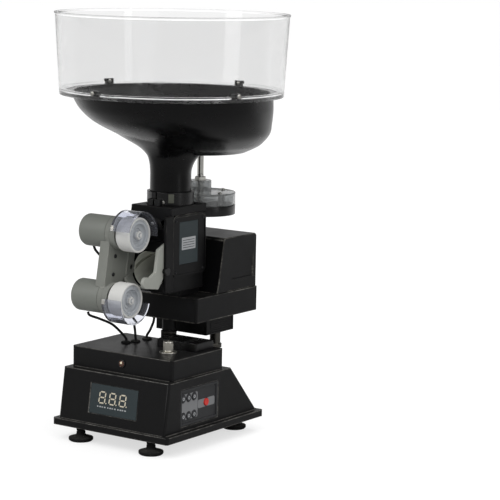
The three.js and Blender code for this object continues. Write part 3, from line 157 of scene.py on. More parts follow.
# Where the noise of the groups starts and ends to count, and its scales
groupShares = {"mottle": (0.3, 0.72), "wearAndSheenLow": 0.65, "coverShare": 0.5, "wearAndSheenSoft": 0.4, "chipScale": 420,
               "chipAndGlint": (0.35, 0.62), "chipShare": 0.75, "facesUp": (0.6, 0.98), "patch": (0.35, 0.75),
               "speckScale": 900, "speck": (0.62, 0.72), "dustShare": 0.6}


# Moulded skin: fine grain for bump, slow mottling for colour and gloss
def mouldedSkinGroup():
    scales = {"Grain Scale": 900, "Mottle Scale": 14}
    tree, come, leave = shaderGroup("mouldedSkin", scales, ("Grain", "Mottle"))
    spot = objectSpot(tree)
    mottle = noiseNode(tree, spot, come["Mottle Scale"], 5.0, 0.6)
    fill(tree, leave, {"Grain": noiseNode(tree, spot, come["Grain Scale"], 2.0, 0.6),
                       "Mottle": spreadNode(tree, mottle, *groupShares["mottle"])})
    return tree


# Worn edges and painted highlight: the faces that round an edge carry an attribute, which noise breaks up;
# the pale tone there is partly wear and partly painted edge highlight
def edgeWearAndSheenGroup():
    s = groupShares
    tree, come, leave = shaderGroup("edgeWear", {"Cover": 0.5, "Breakup": 45}, ("Wear",))
    spot = objectSpot(tree)
    edge = addNode(tree, "ShaderNodeAttribute", attribute_name="rounded").outputs["Fac"]
    low = mathNode(tree, "SUBTRACT", s["wearAndSheenLow"], mathNode(tree, "MULTIPLY", come["Cover"], s["coverShare"]))
    coarse = noiseNode(tree, spot, come["Breakup"], 4.0, 0.6)
    slow = spreadNode(tree, coarse, low, mathNode(tree, "ADD", low, s["wearAndSheenSoft"]))
    fine = spreadNode(tree, noiseNode(tree, spot, s["chipScale"], 3.0, 0.6), *s["chipAndGlint"])
    chips = mathNode(tree, "ADD", mathNode(tree, "MULTIPLY", fine, s["chipShare"]), 1 - s["chipShare"])
    broken = mathNode(tree, "MULTIPLY", slow, chips)
    fill(tree, leave, {"Wear": mathNode(tree, "MULTIPLY", edge, broken)})
    return tree


# Dust that settles on what faces up
def settledDustGroup():
    s = groupShares
    tree, come, leave = shaderGroup("settledDust", {"Patch Scale": 30}, ("Dust",))
    spot = objectSpot(tree)
    normal = addNode(tree, "ShaderNodeNewGeometry").outputs["Normal"]
    up = spreadNode(tree, axesOf(tree, normal)["Z"], *s["facesUp"])
    patch = spreadNode(tree, noiseNode(tree, spot, come["Patch Scale"], 6.0, 0.7), *s["patch"])
    speck = spreadNode(tree, noiseNode(tree, spot, s["speckScale"], 1.0, 0.5), *s["speck"])
    both = mathNode(tree, "MULTIPLY", mathNode(tree, "ADD", patch, speck), s["dustShare"])
    fill(tree, leave, {"Dust": mathNode(tree, "MULTIPLY", up, both, clamp=True)})
    return tree


skinGroup, wearAndSheenGroup, dustGroup = mouldedSkinGroup(), edgeWearAndSheenGroup(), settledDustGroup()
finishes = {}


def newMaterial(name):
    finishes[name] = bpy.data.materials.new(name)
    finishes[name].use_nodes = True
    tree = finishes[name].node_tree
    return tree, tree.nodes["Principled BSDF"]


# One plastic or painted skin: colour with mottling, grain, worn edges that also carry painted edge
# highlights, and dust, each with its own strength
skinShares = {"mottleScale": 16, "roughSpread": 0.1, "coatRough": 0.15, "bumpDepth": 0.0003,
              "dustTone": (150, 148, 142)}


def skinMaterial(name, colour, rough, specular, grainScale, grain, mottle, wearAndSheen=0.0, wornAndLitTone=None, cover=0.5,
                 dust=0.0, metal=0.0, coat=0.0):
    s = skinShares
    tree, shader = newMaterial(name)
    scales = {"Grain Scale": grainScale, "Mottle Scale": s["mottleScale"]}
    skin = addNode(tree, "ShaderNodeGroup", scales, node_tree=skinGroup).outputs
    shade = mixColours(tree, skin["Mottle"], tone(*colour, 1 - mottle), tone(*colour))
    if wearAndSheen:
        wornAndLit = addNode(tree, "ShaderNodeGroup", {"Cover": cover}, node_tree=wearAndSheenGroup).outputs["Wear"]
        amount = mathNode(tree, "MULTIPLY", wornAndLit, wearAndSheen, clamp=True)
        shade = mixColours(tree, amount, shade, tone(*wornAndLitTone))
    if dust:
        fall = addNode(tree, "ShaderNodeGroup", node_tree=dustGroup).outputs["Dust"]
        shade = mixColours(tree, mathNode(tree, "MULTIPLY", fall, dust), shade, tone(*s["dustTone"]))
    fill(tree, shader, {
        "Base Color": shade, "Roughness": roughBetween(tree, skin["Mottle"], rough + s["roughSpread"], rough),
        "Metallic": metal, "Specular IOR Level": specular, "Coat Weight": coat,
        "Coat Roughness": s["coatRough"], "Normal": bumpFrom(tree, skin["Grain"], grain, s["bumpDepth"])})


# Turned metal: fine lines round one axis, given as the two axes across it
turnedShares = {"lineScale": 2600, "cloudScale": 40, "shadow": 0.86, "smoother": 0.7, "rougher": 1.4,
                "bump": 0.1, "bumpDepth": 0.0001}


def turnedMetal(name, colour, rough, centre, across="XY"):
    s = turnedShares
    tree, shader = newMaterial(name)
    spot = objectSpot(tree)
    centred = {"Vector": spot, "Location": [-c * mm for c in centre]}
    axes = axesOf(tree, addNode(tree, "ShaderNodeMapping", centred).outputs[0])
    squares = [mathNode(tree, "MULTIPLY", axes[axis], axes[axis]) for axis in across]
    away = mathNode(tree, "SQRT", mathNode(tree, "ADD", *squares))
    along = axes[(set("XYZ") - set(across)).pop()]
    joined = addNode(tree, "ShaderNodeCombineXYZ", {0: away, 1: along}).outputs[0]
    lines = noiseNode(tree, joined, s["lineScale"], 3.0, 0.6)
    cloud = noiseNode(tree, spot, s["cloudScale"], 4.0, 0.6)
    fill(tree, shader, {
        "Base Color": mixColours(tree, cloud, tone(*colour, s["shadow"]), tone(*colour)), "Metallic": 1.0,
        "Roughness": roughBetween(tree, lines, rough * s["smoother"], rough * s["rougher"]),
        "Normal": bumpFrom(tree, lines, s["bump"], s["bumpDepth"])})


# Clear sheet: glass with faint haze and scuffs
clearShares = {"scuffScale": 60, "scuff": (0.45, 0.8), "scuffRough": 0.12, "waveScale": 25, "bump": 0.03,
               "bumpDepth": 0.0005}


def clearMaterial(name, colour, rough, haze, hazeTone=(225, 228, 232), ior=1.49, clear=1.0):
    s = clearShares
    tree, shader = newMaterial(name)
    spot = objectSpot(tree)
    scuff = spreadNode(tree, noiseNode(tree, spot, s["scuffScale"], 6.0, 0.7), *s["scuff"])
    wave = noiseNode(tree, spot, s["waveScale"], 2.0, 0.5)
    hazed = mathNode(tree, "MULTIPLY", scuff, haze)
    fill(tree, shader, {
        "Base Color": mixColours(tree, hazed, tone(*colour), tone(*hazeTone)),
        "Roughness": roughBetween(tree, scuff, rough, rough + s["scuffRough"]),
        "Transmission Weight": clear, "IOR": ior, "Normal": bumpFrom(tree, wave, s["bump"], s["bumpDepth"])})


# Receiver window: dark amber dome with a painted highlight, a bright spot painted just above its middle
lensShares = {"middle": (1, -92.2, 98.7), "inner": 0.8, "outer": 1.7, "chipAndGlint": (252, 240, 208),
              "dark": (52, 25, 12), "amber": (98, 54, 28), "cloudScale": 160, "waveScale": 500, "rough": 0.08,
              "bump": 0.04, "bumpDepth": 0.0002}


def lensMaterial():
    s = lensShares
    tree, shader = newMaterial("lensAmber")
    spot = objectSpot(tree)
    cloud = noiseNode(tree, spot, s["cloudScale"], 3.0, 0.5)
    wave = noiseNode(tree, spot, s["waveScale"], 2.0, 0.5)
    amber = mixColours(tree, cloud, tone(*s["dark"]), tone(*s["amber"]))
    ends = {0: spot, 1: [c * mm for c in s["middle"]]}
    away = addNode(tree, "ShaderNodeVectorMath", ends, operation="DISTANCE").outputs["Value"]
    # Painted highlight: the pale spot fades out between the outer and inner radius round its middle
    chipAndGlint = spreadNode(tree, away, s["outer"] * mm, s["inner"] * mm)
    fill(tree, shader, {
        "Base Color": mixColours(tree, chipAndGlint, amber, tone(*s["chipAndGlint"])), "Roughness": s["rough"],
        "Coat Weight": 1.0, "Normal": bumpFrom(tree, wave, s["bump"], s["bumpDepth"])})


def makeFinishes():
    # Skins: colour, roughness, specular level, grain scale, grain, mottling, then wear and painted edge
    # sheen, worn and lit tone, and cover
    # shellSatin and baseSkin: their strong pale edges are partly wear and partly painted highlight along the
    # edges
    skinMaterial("shellSatin", (12, 12, 13), 0.32, 0.165, 1500, 0.1, 0.2, 0.8, (118, 116, 110), 0.7,
                 dust=0.08)
    skinMaterial("baseSkin", (12, 12, 13), 0.36, 0.2, 1100, 0.45, 0.25, 0.8, (108, 106, 102), 0.85,
                 dust=0.06, coat=0.08)
    skinMaterial("bowlBlack", (9, 9, 10), 0.22, 0.21, 700, 0.05, 0.2, dust=0.02)
    skinMaterial("glossBlack", (11, 11, 12), 0.22, 0.4, 1500, 0.05, 0.2, 0.4, (90, 90, 88), 0.4, dust=0.05)
    skinMaterial("columnBlack", (13, 13, 14), 0.4, 0.2, 1500, 0.25, 0.2, 0.5, (84, 82, 78), 0.5, dust=0.05)
    skinMaterial("castGrey", (124, 126, 120), 0.42, 0.4, 1300, 0.2, 0.1, 0.5, (170, 170, 162), 0.6, dust=0.06)
    # Painted light and shade: the chute liner is much paler and its strip darker than the cast grey they are
    # made of, for the light and shade inside the column
    skinMaterial("chuteGrey", (216, 218, 206), 0.5, 0.3, 1300, 0.2, 0.12)
    # Painted light: a lighter copy of castGrey for the bracket's right cheek, the side the light falls on
    skinMaterial("cheekGrey", (152, 154, 147), 0.42, 0.4, 1300, 0.2, 0.1, 0.5, (186, 186, 178), 0.6)
    skinMaterial("stripGrey", (150, 151, 138), 0.5, 0.3, 1300, 0.2, 0.12)
    skinMaterial("motorGrey", (119, 122, 116), 0.38, 0.45, 1200, 0.12, 0.1)
    skinMaterial("tyreWhite", (208, 208, 205), 0.5, 0.35, 1700, 0.25, 0.07)
    skinMaterial("slatePanel", (44, 54, 57), 0.4, 0.35, 1200, 0.08, 0.15, 0.2, (90, 100, 102))
    skinMaterial("plateDark", (44, 45, 47), 0.45, 0.4, 1200, 0.15, 0.15, 0.3, (96, 96, 96))
    skinMaterial("zoneGrey", (121, 122, 124), 0.5, 0.35, 1200, 0.1, 0.1)
    skinMaterial("keyDark", (50, 51, 54), 0.42, 0.4, 1400, 0.15, 0.15)
    skinMaterial("keyRed", (205, 46, 38), 0.38, 0.45, 1400, 0.12, 0.12)
    skinMaterial("rubberBlack", (16, 16, 16), 0.78, 0.3, 700, 0.4, 0.2, dust=0.3)
    skinMaterial("leadBlack", (18, 18, 18), 0.45, 0.45, 900, 0.2, 0.2)
    skinMaterial("boardGreen", (28, 84, 58), 0.4, 0.45, 260, 0.35, 0.35)
    skinMaterial("digitCream", (205, 196, 176), 0.45, 0.35, 900, 0.05, 0.08)
    skinMaterial("markGrey", (168, 170, 172), 0.5, 0.35, 900, 0.05, 0.08)
    skinMaterial("screwSteel", (196, 194, 188), 0.28, 0.5, 1500, 0.1, 0.15, metal=1.0)
    skinMaterial("screwDark", (70, 70, 72), 0.35, 0.5, 1500, 0.1, 0.15, metal=1.0)
    skinMaterial("clipSteel", (222, 220, 214), 0.2, 0.5, 1500, 0.08, 0.1, metal=1.0)
    skinMaterial("nutPale", (214, 214, 212), 0.3, 0.6, 1500, 0.1, 0.2)
    skinMaterial("clampOlive", (84, 86, 76), 0.4, 0.4, 1300, 0.15, 0.15)
    # Turned metal: colour, roughness and a point on the axis
    turnedMetal("brassTurned", (190, 150, 82), 0.3, (-18, 81.7, 0))
    turnedMetal("washerBlack", (66, 64, 62), 0.34, (0, 0, 0))
    turnedMetal("postSteel", (190, 189, 184), 0.22, (0, 0, 0))
    turnedMetal("shaftChrome", (204, 203, 198), 0.14, (0, 59, 0))
    turnedMetal("knobSilver", (222, 219, 210), 0.32, (41, -55, 0))
    turnedMetal("crankBlack", (84, 82, 78), 0.34, (30, 53, 0))
    turnedMetal("motorSilver", (176, 175, 170), 0.3, (-18, 81.7, 0))
    turnedMetal("pinSteel", (70, 70, 70), 0.34, (0, -46, 203.3), "YZ")
    # Clear sheets: colour, roughness and haze
    clearMaterial("ringClear", (235, 235, 235), 0.02, 0.12, ior=1.36)
    clearMaterial("lidClear", (190, 192, 192), 0.12, 0.3, ior=1.3, clear=0.8)
    clearMaterial("guardClear", (230, 232, 240), 0.04, 0.2, (204, 209, 228), ior=1.2, clear=0.94)
    clearMaterial("hubClear", (192, 196, 201), 0.2, 0.5, (170, 177, 186), clear=0.25)
    lensMaterial()


makeFinishes()
print("finishes ready", len(finishes))


# Mesh helpers: everything is built in place, from points in millimetres
def objectFrom(name, mesh, finish, angle):
    thing = bpy.data.objects.new(name, mesh)
    scene.collection.objects.link(thing)
    mesh.materials.clear()
    mesh.materials.append(finishes[finish])
    mesh.shade_smooth()
    mesh.set_sharp_from_angle(angle=math.radians(angle))
    return thing


def meshFrom(name, points, faces, finish, angle):
    mesh = bpy.data.meshes.new(name)
    mesh.from_pydata([tuple(Vector(p) * mm) for p in points], [], faces)
    shape = bmesh.new()
    shape.from_mesh(mesh)
    bmesh.ops.remove_doubles(shape, verts=shape.verts, dist=1e-7)
    bmesh.ops.recalc_face_normals(shape, faces=shape.faces)
    shape.to_mesh(mesh)
    shape.free()
    mesh.update()
    return objectFrom(name, mesh, finish, angle)


def bakeShape(thing, angle):
    graph = bpy.context.evaluated_depsgraph_get()
    mesh = bpy.data.meshes.new_from_object(thing.evaluated_get(graph))
    thing.modifiers.clear()
    old, thing.data = thing.data, mesh
    bpy.data.meshes.remove(old)
    mesh.name = thing.name
    if angle:
        mesh.shade_smooth()
        mesh.set_sharp_from_angle(angle=math.radians(angle))
    return thing


def combine(target, tools, operation="DIFFERENCE", angle=35):
    for tool in tools:
        change = target.modifiers.new("cut", "BOOLEAN")
        change.operation, change.object, change.solver = operation, tool, "MANIFOLD"
    bakeShape(target, angle)
    for tool in tools:
        bpy.data.objects.remove(tool)
    return target


# Closed solids in one mesh, each from its rows of corners
def solidsFrom(name, solids, finish, angle=35):
    points, faces = [], []
    for rows in solids:
        first, count = len(points), len(rows[0])
        points += [corner for row in rows for corner in row]
        last = len(points) - count
        for start in range(first, last, count):
            for i in range(count):
                k = (i + 1) % count
                faces.append([start + i, start + k, start + count + k, start + count + i])
        faces += [list(range(first, first + count))[::-1], list(range(last, last + count))]
    return meshFrom(name, points, faces, finish, angle)


# Rounds the corners of a profile of (radius, height) pairs
def eased(profile, radius, closed):
    steps = 3
    out, count = [], len(profile)
    for i, corner in enumerate(profile):
        here = Vector(corner)
        if not closed and i in (0, count - 1):
            out.append(tuple(here))
            continue
        before, after = Vector(profile[i - 1]) - here, Vector(profile[(i + 1) % count]) - here
        reach = min(radius, before.length * 0.42, after.length * 0.42)
        start, end = here + before.normalized() * reach, here + after.normalized() * reach
        for k in range(steps + 1):
            t = k / steps
            out.append(tuple(start * (1 - t) ** 2 + here * 2 * t * (1 - t) + end * t * t))
    return out


# The four corners of a plain ring, or of a disc where the inside is 0
def band(inner, outer, low, high):
    return [(inner, low), (outer, low), (outer, high), (inner, high)]


# Turns a profile about Z, all the way or over part of it, then puts it in place
def lathe(name, profile, finish, place=Matrix.Identity(4), segments=96, ease=0.4, start=0.0, sweep=360.0,
          angle=35):
    closed = profile[0][0] > 0
    profile = eased(profile, ease, closed) if ease else profile
    full = sweep >= 360
    count = segments if full else segments + 1
    points, faces, rows = [], [], []
    for radius, height in profile:
        if radius < 1e-6:
            rows.append([len(points)] * count)
            points.append(place @ Vector((0, 0, height)))
            continue
        rows.append(range(len(points), len(points) + count))
        for i in range(count):
            turn = math.radians(start + sweep * i / segments)
            points.append(place @ Vector((radius * math.cos(turn), radius * math.sin(turn), height)))
    lines = len(rows) if closed else len(rows) - 1
    for j in range(lines):
        low, high = rows[j], rows[(j + 1) % len(rows)]
        for i in range(segments):
            k = (i + 1) % count
            corners = list(dict.fromkeys((low[i], low[k], high[k], high[i])))
            if len(corners) > 2:
                faces.append(corners)
    if not full:
        faces += [[row[0] for row in rows], [row[-1] for row in rows][::-1]]
    return meshFrom(name, points, faces, finish, angle)


# Extrudes outlines of (x, y) points along Z between two heights
def prisms(name, outlines, low, high, finish, place):
    solids = [[[place @ Vector((x, y, z)) for x, y in outline] for z in (low, high)] for outline in outlines]
    return solidsFrom(name, solids, finish)


def prism(name, outline, low, high, finish, place=Matrix.Identity(4), bevel=0.0):
    thing = prisms(name, [outline], low, high, finish, place)
    return roundEdges(thing, bevel) if bevel else thing


# Rounds the sharp edges and marks the new faces for the edge wear and painted edge highlight
def roundEdges(thing, width, segments=2, leave=None):
    sharpAngle, shortestShare = math.radians(28), 2.4
    mesh = thing.data
    shape = bmesh.new()
    shape.from_mesh(mesh)
    layer = shape.edges.layers.float.new("bevel_weight_edge")
    for edge in shape.edges:
        sharp = len(edge.link_faces) == 2 and edge.calc_face_angle(0) > sharpAngle
        if leave and leave((edge.verts[0].co + edge.verts[1].co) / 2):
            sharp = False
        edge[layer] = 1.0 if sharp and edge.calc_length() > shortestShare * width * mm else 0.0
    shape.to_mesh(mesh)
    shape.free()
    bevel = thing.modifiers.new("edges", "BEVEL")
    bevel.width, bevel.segments, bevel.limit_method = width * mm, segments, "WEIGHT"
    bevel.use_clamp_overlap = False
    finish = next(finish for finish in mesh.materials if finish)
    mesh.materials.clear()
    mesh.materials.append(finish)
    mesh.materials.append(finish)
    bevel.material = 1
    thing.modifiers.new("normals", "WEIGHTED_NORMAL").keep_sharp = True
    mesh = bakeShape(thing, 0).data
    rounded = [float(face.material_index) for face in mesh.polygons]
    mesh.polygons.foreach_set("material_index", [0] * len(rounded))
    mesh.materials.clear()
    mesh.materials.append(finish)
    mesh.attributes.new("rounded", "FLOAT", "FACE").data.foreach_set("value", rounded)
    return thing


# Stands Z at a spot and along an aim
def aimed(spot, aim, axis="Z"):
    return Matrix.Translation(spot) @ Vector(aim).to_track_quat(axis, "Y").to_matrix().to_4x4()


# Tells whether a spot lies in one of the boxes, each given by its two corners
def inBoxes(*boxes):
    def test(spot):
        return any(all(low <= value / mm <= high for value, low, high in zip(spot, *box)) for box in boxes)
    return test


# A copy of a CAD node with merged faces and rounded edges; the planes part faces that have holes in them
def softened(node, name, width, finish, segments=2, planes=(), leave=None):
    mesh = nodes[node].data.copy()
    shape = bmesh.new()
    shape.from_mesh(mesh)
    bmesh.ops.remove_doubles(shape, verts=shape.verts, dist=3e-6)
    for spot, normal in planes:
        parts = shape.verts[:] + shape.edges[:] + shape.faces[:]
        spot = Vector(spot) * mm
        parted = bmesh.ops.bisect_plane(shape, geom=parts, dist=1e-6, plane_co=spot, plane_no=normal)
        for item in parted["geom_cut"]:
            if isinstance(item, bmesh.types.BMEdge):
                item.seam = True
    bmesh.ops.dissolve_limit(shape, angle_limit=math.radians(0.6), verts=shape.verts, edges=shape.edges,
                             delimit={"SEAM"})
    shape.to_mesh(mesh)
    shape.free()
    return roundEdges(objectFrom(name, mesh, finish, 30), width, segments, leave)


def roundedRect(x0, x1, y0, y1, radius, steps=6):
    corners = ((x1 - radius, y0 + radius, -90), (x1 - radius, y1 - radius, 0),
               (x0 + radius, y1 - radius, 90), (x0 + radius, y0 + radius, 180))
    return [(x + radius * math.cos(math.radians(turn + 90 * i / steps)),
             y + radius * math.sin(math.radians(turn + 90 * i / steps)))
            for x, y, turn in corners for i in range(steps + 1)]


# Points of a smooth curve through all its controls
def curvePoints(controls, steps):
    out = []
    for i in range(len(controls) - 1):
        p0 = Vector(controls[max(i - 1, 0)])
        p1, p2 = Vector(controls[i]), Vector(controls[i + 1])
        p3 = Vector(controls[min(i + 2, len(controls) - 1)])
        for k in range(steps):
            t = k / steps
            out.append(0.5 * (2 * p1 + (p2 - p0) * t + (2 * p0 - 5 * p1 + 4 * p2 - p3) * t * t
                              + (3 * p1 - p0 - 3 * p2 + p3) * t ** 3))
    out.append(Vector(controls[-1]))
    return out


# A round tube along a path, closed at both ends
def tubeAlong(name, path, radius, finish):
    sides = 20
    turns = [2 * math.pi * k / sides for k in range(sides)]
    rows, side = [], None
    for i, spot in enumerate(path):
        ahead = (path[min(i + 1, len(path) - 1)] - path[max(i - 1, 0)]).normalized()
        side = (side - ahead * side.dot(ahead)).normalized() if side else ahead.orthogonal().normalized()
        other = ahead.cross(side)
        rows.append([spot + (side * math.cos(turn) + other * math.sin(turn)) * radius for turn in turns])
    return solidsFrom(name, [rows], finish, 50)


def settle(thing, body, *replaced, slot=None):
    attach(thing, body)
    if replaced:
        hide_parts(*replaced)
    return thing


def standIn(thing, node):
    return settle(thing, bodyOf[node], node)


def dressed(node, name, width, finish, segments=2, **more):
    return standIn(softened(node, name, width, finish, segments, **more), node)


# Geometry Nodes: what the trees share, from their sockets to the painted end
def growTree(name, inputs):
    tree = bpy.data.node_groups.new(name, "GeometryNodeTree")
    for label, kind in inputs.items():
        tree.interface.new_socket(label, in_out="INPUT", socket_type="NodeSocket" + kind)
    tree.interface.new_socket("Geometry", in_out="OUTPUT", socket_type="NodeSocketGeometry")
    return tree, tree.nodes.new("NodeGroupInput").outputs


def instanced(tree, values):
    spread = addNode(tree, "GeometryNodeInstanceOnPoints", values)
    return addNode(tree, "GeometryNodeRealizeInstances", {0: spread.outputs[0]}).outputs[0]


def painted(tree, come, shape):
    paint = addNode(tree, "GeometryNodeSetMaterial", {"Geometry": shape, "Material": come["Material"]})
    addNode(tree, "NodeGroupOutput", {0: paint.outputs[0]})
    return tree


# Screw heads on points, each turned to its aim and by a seeded angle
def screwTree():
    inputs = {"Points": "Geometry", "Head": "Object", "Size": "Float", "Seed": "Int", "Material": "Material"}
    tree, come = growTree("screwsOnPoints", inputs)
    head = addNode(tree, "GeometryNodeObjectInfo", {"Object": come["Head"]})
    aim = addNode(tree, "GeometryNodeInputNamedAttribute", {"Name": "aim"}, data_type="FLOAT_VECTOR")
    align = addNode(tree, "FunctionNodeAlignRotationToVector", {"Vector": aim.outputs["Attribute"]}, axis="Z")
    chance = addNode(tree, "FunctionNodeRandomValue", {3: math.pi, "Seed": come["Seed"]}, data_type="FLOAT")
    spin = addNode(tree, "FunctionNodeAxisAngleToRotation", {"Axis": (0, 0, 1), "Angle": chance.outputs[1]})
    turns = {0: align.outputs[0], 1: spin.outputs[0]}
    turn = addNode(tree, "FunctionNodeRotateRotation", turns, rotation_space="LOCAL")
    heads = instanced(tree, {"Points": come["Points"], "Instance": head.outputs["Geometry"],
                             "Rotation": turn.outputs[0], "Scale": come["Size"]})
    return painted(tree, come, heads)


# Bars in a row
def barTree():
    inputs = {"Count": "Int", "Start": "Vector", "Step": "Vector", "Size": "Vector", "Material": "Material"}
    tree, come = growTree("barsInARow", inputs)
    row = addNode(tree, "GeometryNodeMeshLine", {"Count": come["Count"], "Start Location": come["Start"],
                                                 "Offset": come["Step"]})
    bar = addNode(tree, "GeometryNodeMeshCube", {"Size": come["Size"]})
    return painted(tree, come, instanced(tree, {"Points": row.outputs[0], "Instance": bar.outputs[0]}))


# Upright ridges round a circle
def ridgeTree():
    inputs = {"Count": "Int", "Ring": "Float", "Ridge": "Float", "Height": "Float", "Middle": "Vector",
              "Material": "Material"}
    tree, come = growTree("ridgesRoundAKnob", inputs)
    ring = addNode(tree, "GeometryNodeMeshCircle", {"Vertices": come["Count"], "Radius": come["Ring"]})
    ridge = addNode(tree, "GeometryNodeMeshCylinder", {"Vertices": 8, "Radius": come["Ridge"],
                                                       "Depth": come["Height"]})
    ridges = instanced(tree, {"Points": ring.outputs[0], "Instance": ridge.outputs[0]})
    move = addNode(tree, "GeometryNodeTransform", {"Geometry": ridges, "Translation": come["Middle"]})
    return painted(tree, come, move.outputs[0])


screwNodes, barNodes, ridgeNodes = screwTree(), barTree(), ridgeTree()


def grow(name, tree, values, angle=35, mesh=None):
    thing = bpy.data.objects.new(name, mesh or bpy.data.meshes.new(name))
    scene.collection.objects.link(thing)
    change = thing.modifiers.new("nodes", "NODES")
    change.node_group = tree
    for socket in tree.interface.items_tree:
        if socket.in_out == "INPUT" and socket.name in values:
            change[socket.identifier] = values[socket.name]
    return bakeShape(thing, angle)


def barRow(name, count, start, step, size, finish):
    values = {"Count": count, "Start": start, "Step": step, "Size": size}
    for label in ("Start", "Step", "Size"):
        values[label] = [value * mm for value in values[label]]
    return grow(name, barNodes, {**values, "Material": finishes[finish]})


# A pan head with a cross recess, in shares of its radius, standing on its point along Z
screwShares = {"profile": [(0, -0.35), (0.98, -0.35), (1.0, 0.1), (0.86, 0.38), (0.5, 0.52), (0, 0.56)],
               "recess": [(-0.5, -0.1), (0.5, -0.1), (0.5, 0.1), (-0.5, 0.1)],
               "recessLow": 0.18, "recessTop": 0.9}


def screwHead():
    s = screwShares
    head = lathe("screwHeadMaster", s["profile"], "screwSteel", segments=20, ease=0.08)
    arms = []
    for i in range(2):
        turn = Matrix.Rotation(math.pi / 2 * i, 4, "Z")
        arms.append(prism(f"recess{i}", s["recess"], s["recessLow"], s["recessTop"], "screwDark", turn))
    for thing in [head] + arms:
        thing.data.transform(Matrix.Scale(1 / mm, 4))
    return combine(head, arms, angle=40)


screwMaster = screwHead()


def screws(name, body, spots, radius, finish, seed):
    mesh = bpy.data.meshes.new(name)
    mesh.from_pydata([tuple(Vector(spot) * mm) for spot, aim in spots], [], [])
    layer = mesh.attributes.new("aim", "FLOAT_VECTOR", "POINT")
    layer.data.foreach_set("vector", [value for spot, aim in spots for value in Vector(aim).normalized()])
    values = {"Head": screwMaster, "Size": radius * mm, "Seed": seed, "Material": finishes[finish]}
    return settle(grow(name, screwNodes, values, 40, mesh), body, slot="chrome")


# Base: shell, cover, boards, and the block and arm of the swivel that are fixed to it
baseSizes = {"shell": 0.9, "block": 0.6, "arm": 0.5, "cover": 0.5, "board": 0.2,
             "screwX": (-64, 64), "screwY": (-64, 62), "screwLow": 17.2, "screw": 2.6}


def makeBase():
    s = baseSizes
    dressed("base_body", "baseShell", s["shell"], "baseSkin", 3)
    dressed("bottom_cover", "bottomCover", s["cover"], "columnBlack")
    dressed("pivot_block", "pivotBlock", s["block"], "glossBlack", 3)
    dressed("slotted_arm", "slottedArm", s["arm"], "columnBlack")
    for node in ("circuit_board", "key_board"):
        dressed(node, "board." + node, s["board"], "boardGreen", 1)
    spots = [basePlace @ Vector((x, y, s["screwLow"])) for x in s["screwX"] for y in s["screwY"]]
    screws("bottomScrews", "base", [(spot, (0, 0, -1)) for spot in spots], s["screw"], "screwDark", 3)


# Feet: a disc with a hollow sole, a neck, a grooved stem and the peg that holds it
footSizes = {"radius": 14.5, "rim": 1.6, "sole": 0.6, "disc": 4.2, "neck": 7.5, "neckTop": 6.6, "stem": 5.3,
             "groove": (11, 11.4, 12.2, 12.6), "grooveDeep": 0.5, "top": 17.2, "peg": 3.0, "pegTop": 22.2,
             "places": ((-52, -82.8), (52, -82.8), (-52, 81.5), (52, 81.5))}


def makeFeet():
    s = footSizes
    r, rim, edge, stem, top, peg = (s[key] for key in ("radius", "rim", "disc", "stem", "top", "peg"))
    groove = [(stem - inset, z) for inset, z in zip((0, s["grooveDeep"], s["grooveDeep"], 0), s["groove"])]
    profile = [(0, s["sole"]), (r - 5, s["sole"]), (r - 4.6, 0), (r - rim, 0), (r, rim), (r, edge),
               (r - 2.2, edge + 0.7), (s["neck"], s["neckTop"] - 0.4), (stem, s["neckTop"] + rim), *groove,
               (stem, top), (peg, top), (peg, s["pegTop"]), (0, s["pegTop"])]
    for i, (x, y) in enumerate(s["places"]):
        place = basePlace @ Matrix.Translation((x, y, 0))
        standIn(lathe(f"footRubber.{i + 1}", profile, "rubberBlack", place, 64, 0.5), f"rubber_foot_{i + 1}")


# Display: a slate plate with three figures and small marks under them
displaySizes = {"figureWidth": 8.4, "figureHeight": 13, "bar": 1.5, "lean": 0.07, "proud": 0.22,
                "dot": 0.8, "dotX": 2.2, "dotY": 0.2, "figures": (-17.2, -2.2, 12.8), "figureLow": -4.4,
                "shift": (0.5, 0.1, 0), "edge": 0.35, "marksLow": -9.6, "markHeight": 1.5,
                "markWidths": (1.8, 2.4, 1.8, 2.4), "markStep": 3.4, "markLeft": -6,
                "markRadius": 0.3, "markProud": 0.12}


# The outlines of one figure: three level bars, four upright bars and a dot
def figureOutlines(middle):
    s = displaySizes
    w, h, t = s["figureWidth"] / 2, s["figureHeight"] / 2, s["bar"] / 2
    bars = []
    for y in (0, h, 2 * h):
        bars.append([(middle - w + t * 1.4, y), (middle - w + t * 2.2, y - t), (middle + w - t * 2.2, y - t),
                     (middle + w - t * 1.4, y), (middle + w - t * 2.2, y + t), (middle - w + t * 2.2, y + t)])
    for x in (middle - w, middle + w):
        for y in (0, h):
            bars.append([(x, y + t * 0.6), (x + t, y + t * 1.6), (x + t, y + h - t * 1.6),
                         (x, y + h - t * 0.6), (x - t, y + h - t * 1.6), (x - t, y + t * 1.6)])
    turns = [i * math.pi / 6 for i in range(12)]
    dotX, dotY = middle + w + s["dotX"], s["dotY"]
    bars.append([(dotX + s["dot"] * math.cos(turn), dotY + s["dot"] * math.sin(turn)) for turn in turns])
    return [[(x + s["lean"] * y, s["figureLow"] + y) for x, y in bar] for bar in bars]


def makeDisplay():
    s = displaySizes
    dressed("display_panel", "displayPlate", s["edge"], "slatePanel")
    face = frontPlace @ Matrix.Translation(s["shift"]) @ Matrix.Rotation(math.pi / 2, 4, "X")
    outlines = [outline for middle in s["figures"] for outline in figureOutlines(middle)]
    figures = prisms("displayFigures", outlines, 0, s["proud"], "digitCream", face)
    settle(figures, "base", slot="panel_grey")
    marks, low = [], s["marksLow"]
    for middle in s["figures"]:
        for k, width in enumerate(s["markWidths"]):
            x = middle + s["markLeft"] + k * s["markStep"]
            marks.append(roundedRect(x, x + width, low, low + s["markHeight"], s["markRadius"], 2))
    settle(prisms("displayMarks", marks, 0, s["markProud"], "markGrey", face), "base", slot="panel_grey")


